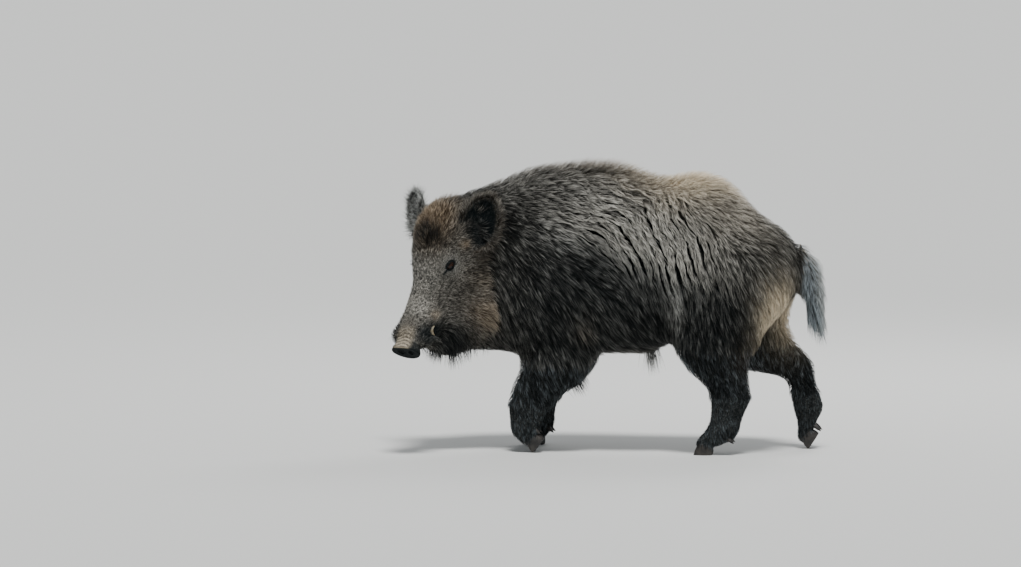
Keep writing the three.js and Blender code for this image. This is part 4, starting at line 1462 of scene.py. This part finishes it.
def skin_material(group):
    material, tree, shader = new_material("boar_skin")
    grain = noise(tree, object_place(tree), 420.0, 4.0)
    tree.links.new(hair_colour(tree, group, Along=grain, Shade=grain), shader.inputs["Base Color"])
    bump = add_node(tree, "ShaderNodeBump", Height=grain, Strength=0.5, Distance=0.002)
    tree.links.new(bump.outputs[0], shader.inputs["Normal"])
    set_finish(shader, Roughness=0.7, Specular_IOR_Level=0.05)
    return material


# The eye's colours from the middle of its pupil, over the iris and its dark rim, to the back of the ball.
EYE_COLOURS = (
    (0.0, (0.002, 0.002, 0.002)), (0.24, (0.002, 0.002, 0.002)), (0.30, (0.030, 0.012, 0.005)),
    (0.52, (0.016, 0.006, 0.003)), (0.60, (0.004, 0.003, 0.002)), (1.0, (0.035, 0.018, 0.012)),
)


def eye_material():
    material, tree, shader = new_material("boar_eye")
    ramp = add_node(tree, "ShaderNodeValToRGB", Fac=attribute(tree, "from_axis")["Fac"])
    stops = ramp.color_ramp.elements
    stops.remove(stops[1])
    stops[0].color = (*EYE_COLOURS[0][1], 1)
    for place, colour in EYE_COLOURS[1:]:
        stops.new(place).color = (*colour, 1)
    flecks = maths(tree, "MULTIPLY_ADD", noise(tree, object_place(tree), 900.0, 3.0), 0.8, 0.6)
    tree.links.new(scaled(tree, ramp.outputs[0], flecks), shader.inputs["Base Color"])
    set_finish(shader, Roughness=0.08, Specular_IOR_Level=0.22, Coat_Weight=0.12, Coat_Roughness=0.02)
    return material


IRIS_RADIUS = 7.5
IRIS_EDGE = 0.55  # where the iris ends among the eye's colours
CORNEA_RISE = 1.1  # how far the cornea stands out over the iris
EYE_SLACK = 0.15  # between the eyeball and its lids


def build_eyes():
    material = eye_material()
    for side, turn in SIDES.items():
        gaze = Vector(head_vector(0.42, 0.83 * turn, 0.30))
        bpy.ops.object.select_all(action="DESELECT")
        bpy.ops.mesh.primitive_uv_sphere_add(segments=64, ring_count=40, radius=(EYE_RADIUS - EYE_SLACK) * MM)
        eye = bpy.context.object
        eye.name = side + "_eyeball"
        points = places(eye.data)
        angle = np.arccos(np.clip(points[:, 2] / np.linalg.norm(points, axis=1), -1, 1))
        edge = math.asin(IRIS_RADIUS / EYE_RADIUS)
        points[:, 2] += CORNEA_RISE * MM * (1 - ease(angle, 0.1, edge))
        mark(eye.data, "from_axis", "FLOAT", angle / edge * IRIS_EDGE)
        turned_to = np.array(gaze.to_track_quat("Z", "Y").to_matrix())
        set_places(eye.data, points @ turned_to.T + np.array(EYE[side]))
        eye.data.shade_smooth()
        eye.data.materials.append(material)
        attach(eye, "root")
        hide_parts(side + "_eye")


def horn_material(name, dark, light, roughness, ring_scale, ring_depth):
    """Horn or ivory: growth rings lying across the height, and blotches of a darker stain."""
    material, tree, shader = new_material(name)
    place = object_place(tree)
    flattened = add_node(tree, "ShaderNodeMapping", Vector=place, Scale=(0.25, 0.25, 1.0)).outputs[0]
    rings = noise(tree, flattened, ring_scale, 4.0)
    stain = ranged(tree, noise(tree, place, 55.0, 5.0), 0.35, 0.65)
    tree.links.new(mixed(tree, stain, dark, light), shader.inputs["Base Color"])
    rough = ranged(tree, rings, 0.0, 1.0, roughness - 0.1, roughness + 0.15)
    tree.links.new(rough, shader.inputs["Roughness"])
    bump = add_node(tree, "ShaderNodeBump", Height=rings, Strength=0.6, Distance=ring_depth * MM)
    tree.links.new(bump.outputs[0], shader.inputs["Normal"])
    return material


def smooth_copy(node, name, voxel, rounds, material):
    """A CAD node's shape with its facets smoothed away, standing for the node."""
    piece = cad_copy(node, name)
    piece.data.remesh_voxel_size = voxel * MM
    activate(piece)
    bpy.ops.object.voxel_remesh()
    apply_modifier(piece, "SMOOTH", factor=0.5, iterations=rounds)
    points = places(piece.data)
    points[:, 2] = np.maximum(points[:, 2], 0)
    set_places(piece.data, points)
    piece.data.shade_smooth()
    piece.data.materials.append(material)
    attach(piece, "root")
    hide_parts(node)


STAINED_IVORY, IVORY = (0.30, 0.21, 0.11), (0.66, 0.58, 0.42)
DARK_HORN, LIGHT_HORN = (0.010, 0.009, 0.008), (0.035, 0.030, 0.025)


def build_tusks_and_hooves():
    ivory = horn_material("tusk_ivory", STAINED_IVORY, IVORY, 0.25, 260.0, 0.15)
    horn = horn_material("hoof_horn", DARK_HORN, LIGHT_HORN, 0.45, 420.0, 0.5)
    for side in SIDES:
        smooth_copy(side + "_tusk", side + "_tusk_ivory", 0.7, 4, ivory)
    for node in HORN:
        smooth_copy(node, node + "_horn", 1.3, 5, horn)


# ---- Stage -------------------------------------------------------------------------------------------------

AZIMUTH, ELEVATION = math.radians(8), math.radians(4.5)
AIM = Vector((-0.320, 0.055, 0.495))
DISTANCE = 17.0
LENS, SENSOR = 200, 36
VIEW_DEPTH = 400
FLOOR_RADIUS = 90
FLOOR_GREY = (0.62, 0.62, 0.6, 1)
SKY = (0.9, 0.95, 1.0, 1)
SKY_STRENGTH = 0.42


def place_on_stage(name, data, place, back):
    """Adds a camera or a lamp that looks away from the direction at its back."""
    obj = bpy.data.objects.new(name, data)
    obj.location = place
    obj.rotation_mode = "QUATERNION"
    obj.rotation_quaternion = Vector(back).to_track_quat("Z", "Y")
    bpy.context.scene.collection.objects.link(obj)
    return obj


def build_camera():
    level = math.cos(ELEVATION)
    back = Vector((math.sin(AZIMUTH) * level, -math.cos(AZIMUTH) * level, math.sin(ELEVATION)))
    data = bpy.data.cameras.new("camera")
    data.lens = LENS
    data.sensor_width = SENSOR
    data.clip_end = VIEW_DEPTH
    bpy.context.scene.camera = place_on_stage("camera", data, AIM + back * DISTANCE, back)


def build_lamps():
    """A broad lamp far off in front and above, and a weak round one behind."""
    key = bpy.data.lights.new("key", "SUN")
    key.energy = 3.9
    key.angle = math.radians(14)
    place_on_stage("key", key, (0, 0, 0), (0.10, -0.38, 1.0))
    lamp = bpy.data.lights.new("back", "AREA")
    lamp.shape = "DISK"
    lamp.size = 2.0
    lamp.energy = 60
    place = Vector((1.0, 2.8, 3.2))
    place_on_stage("back", lamp, place, place - Vector((0, 0, 0.45)))


def build_stage():
    bpy.ops.object.select_all(action="DESELECT")
    bpy.ops.mesh.primitive_circle_add(vertices=96, radius=FLOOR_RADIUS, fill_type="NGON")
    floor = bpy.context.object
    floor.name = "floor"
    material, _, shader = new_material("studio_floor")
    set_finish(shader, Base_Color=FLOOR_GREY, Roughness=0.9)
    floor.data.materials.append(material)
    floor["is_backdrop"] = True
    world = bpy.data.worlds.new("studio")
    world.use_nodes = True
    set_finish(world.node_tree.nodes["Background"], Color=SKY, Strength=SKY_STRENGTH)
    bpy.context.scene.world = world
    build_lamps()


# ---- The model ---------------------------------------------------------------------------------------------

def finish_skin(skin, hide, group):
    """The skin's marks and material, and the nodes that it stands for."""
    mark(skin.data, "marks", "FLOAT_COLOR", hide.plan[:, MARKS])
    # The ridge value gives the skin painted shade in the troughs of the long locks and painted highlight on
    # their crests.
    height, zone = ridges(hide.points, hide.normals)
    mark(skin.data, "ridge", "FLOAT", zone * (2 * height - 1))
    skin.data.shade_smooth()
    skin.data.materials.append(skin_material(group))
    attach(skin, "root")
    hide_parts(*FLESH)


build_camera()
build_stage()
build_eyes()
build_tusks_and_hooves()
skin = build_skin()
unwrap(skin)
hide = Hide(skin)
hair_colours = hair_colour_group()
finish_skin(skin, hide, hair_colours)
hairs = {
    "plain": hair_material(hair_colours, "boar_hair", 0.0, HAIR_GLOSS),
    "cool": hair_material(hair_colours, "boar_hair_cool", 0.75, HAIR_GLOSS),
    "soft": hair_material(hair_colours, "boar_hair_soft", 0.1, SOFT_HAIR_GLOSS),
}
build_coat(hide, hairs)
build_whiskers(hide, hairs["plain"])
build_lashes(hide, hairs["plain"])
build_fringes(hide, hairs["plain"])

boxes = {"cad": cad_box, "visual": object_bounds()}
{name: [list(corner) for corner in box] for name, box in boxes.items()}
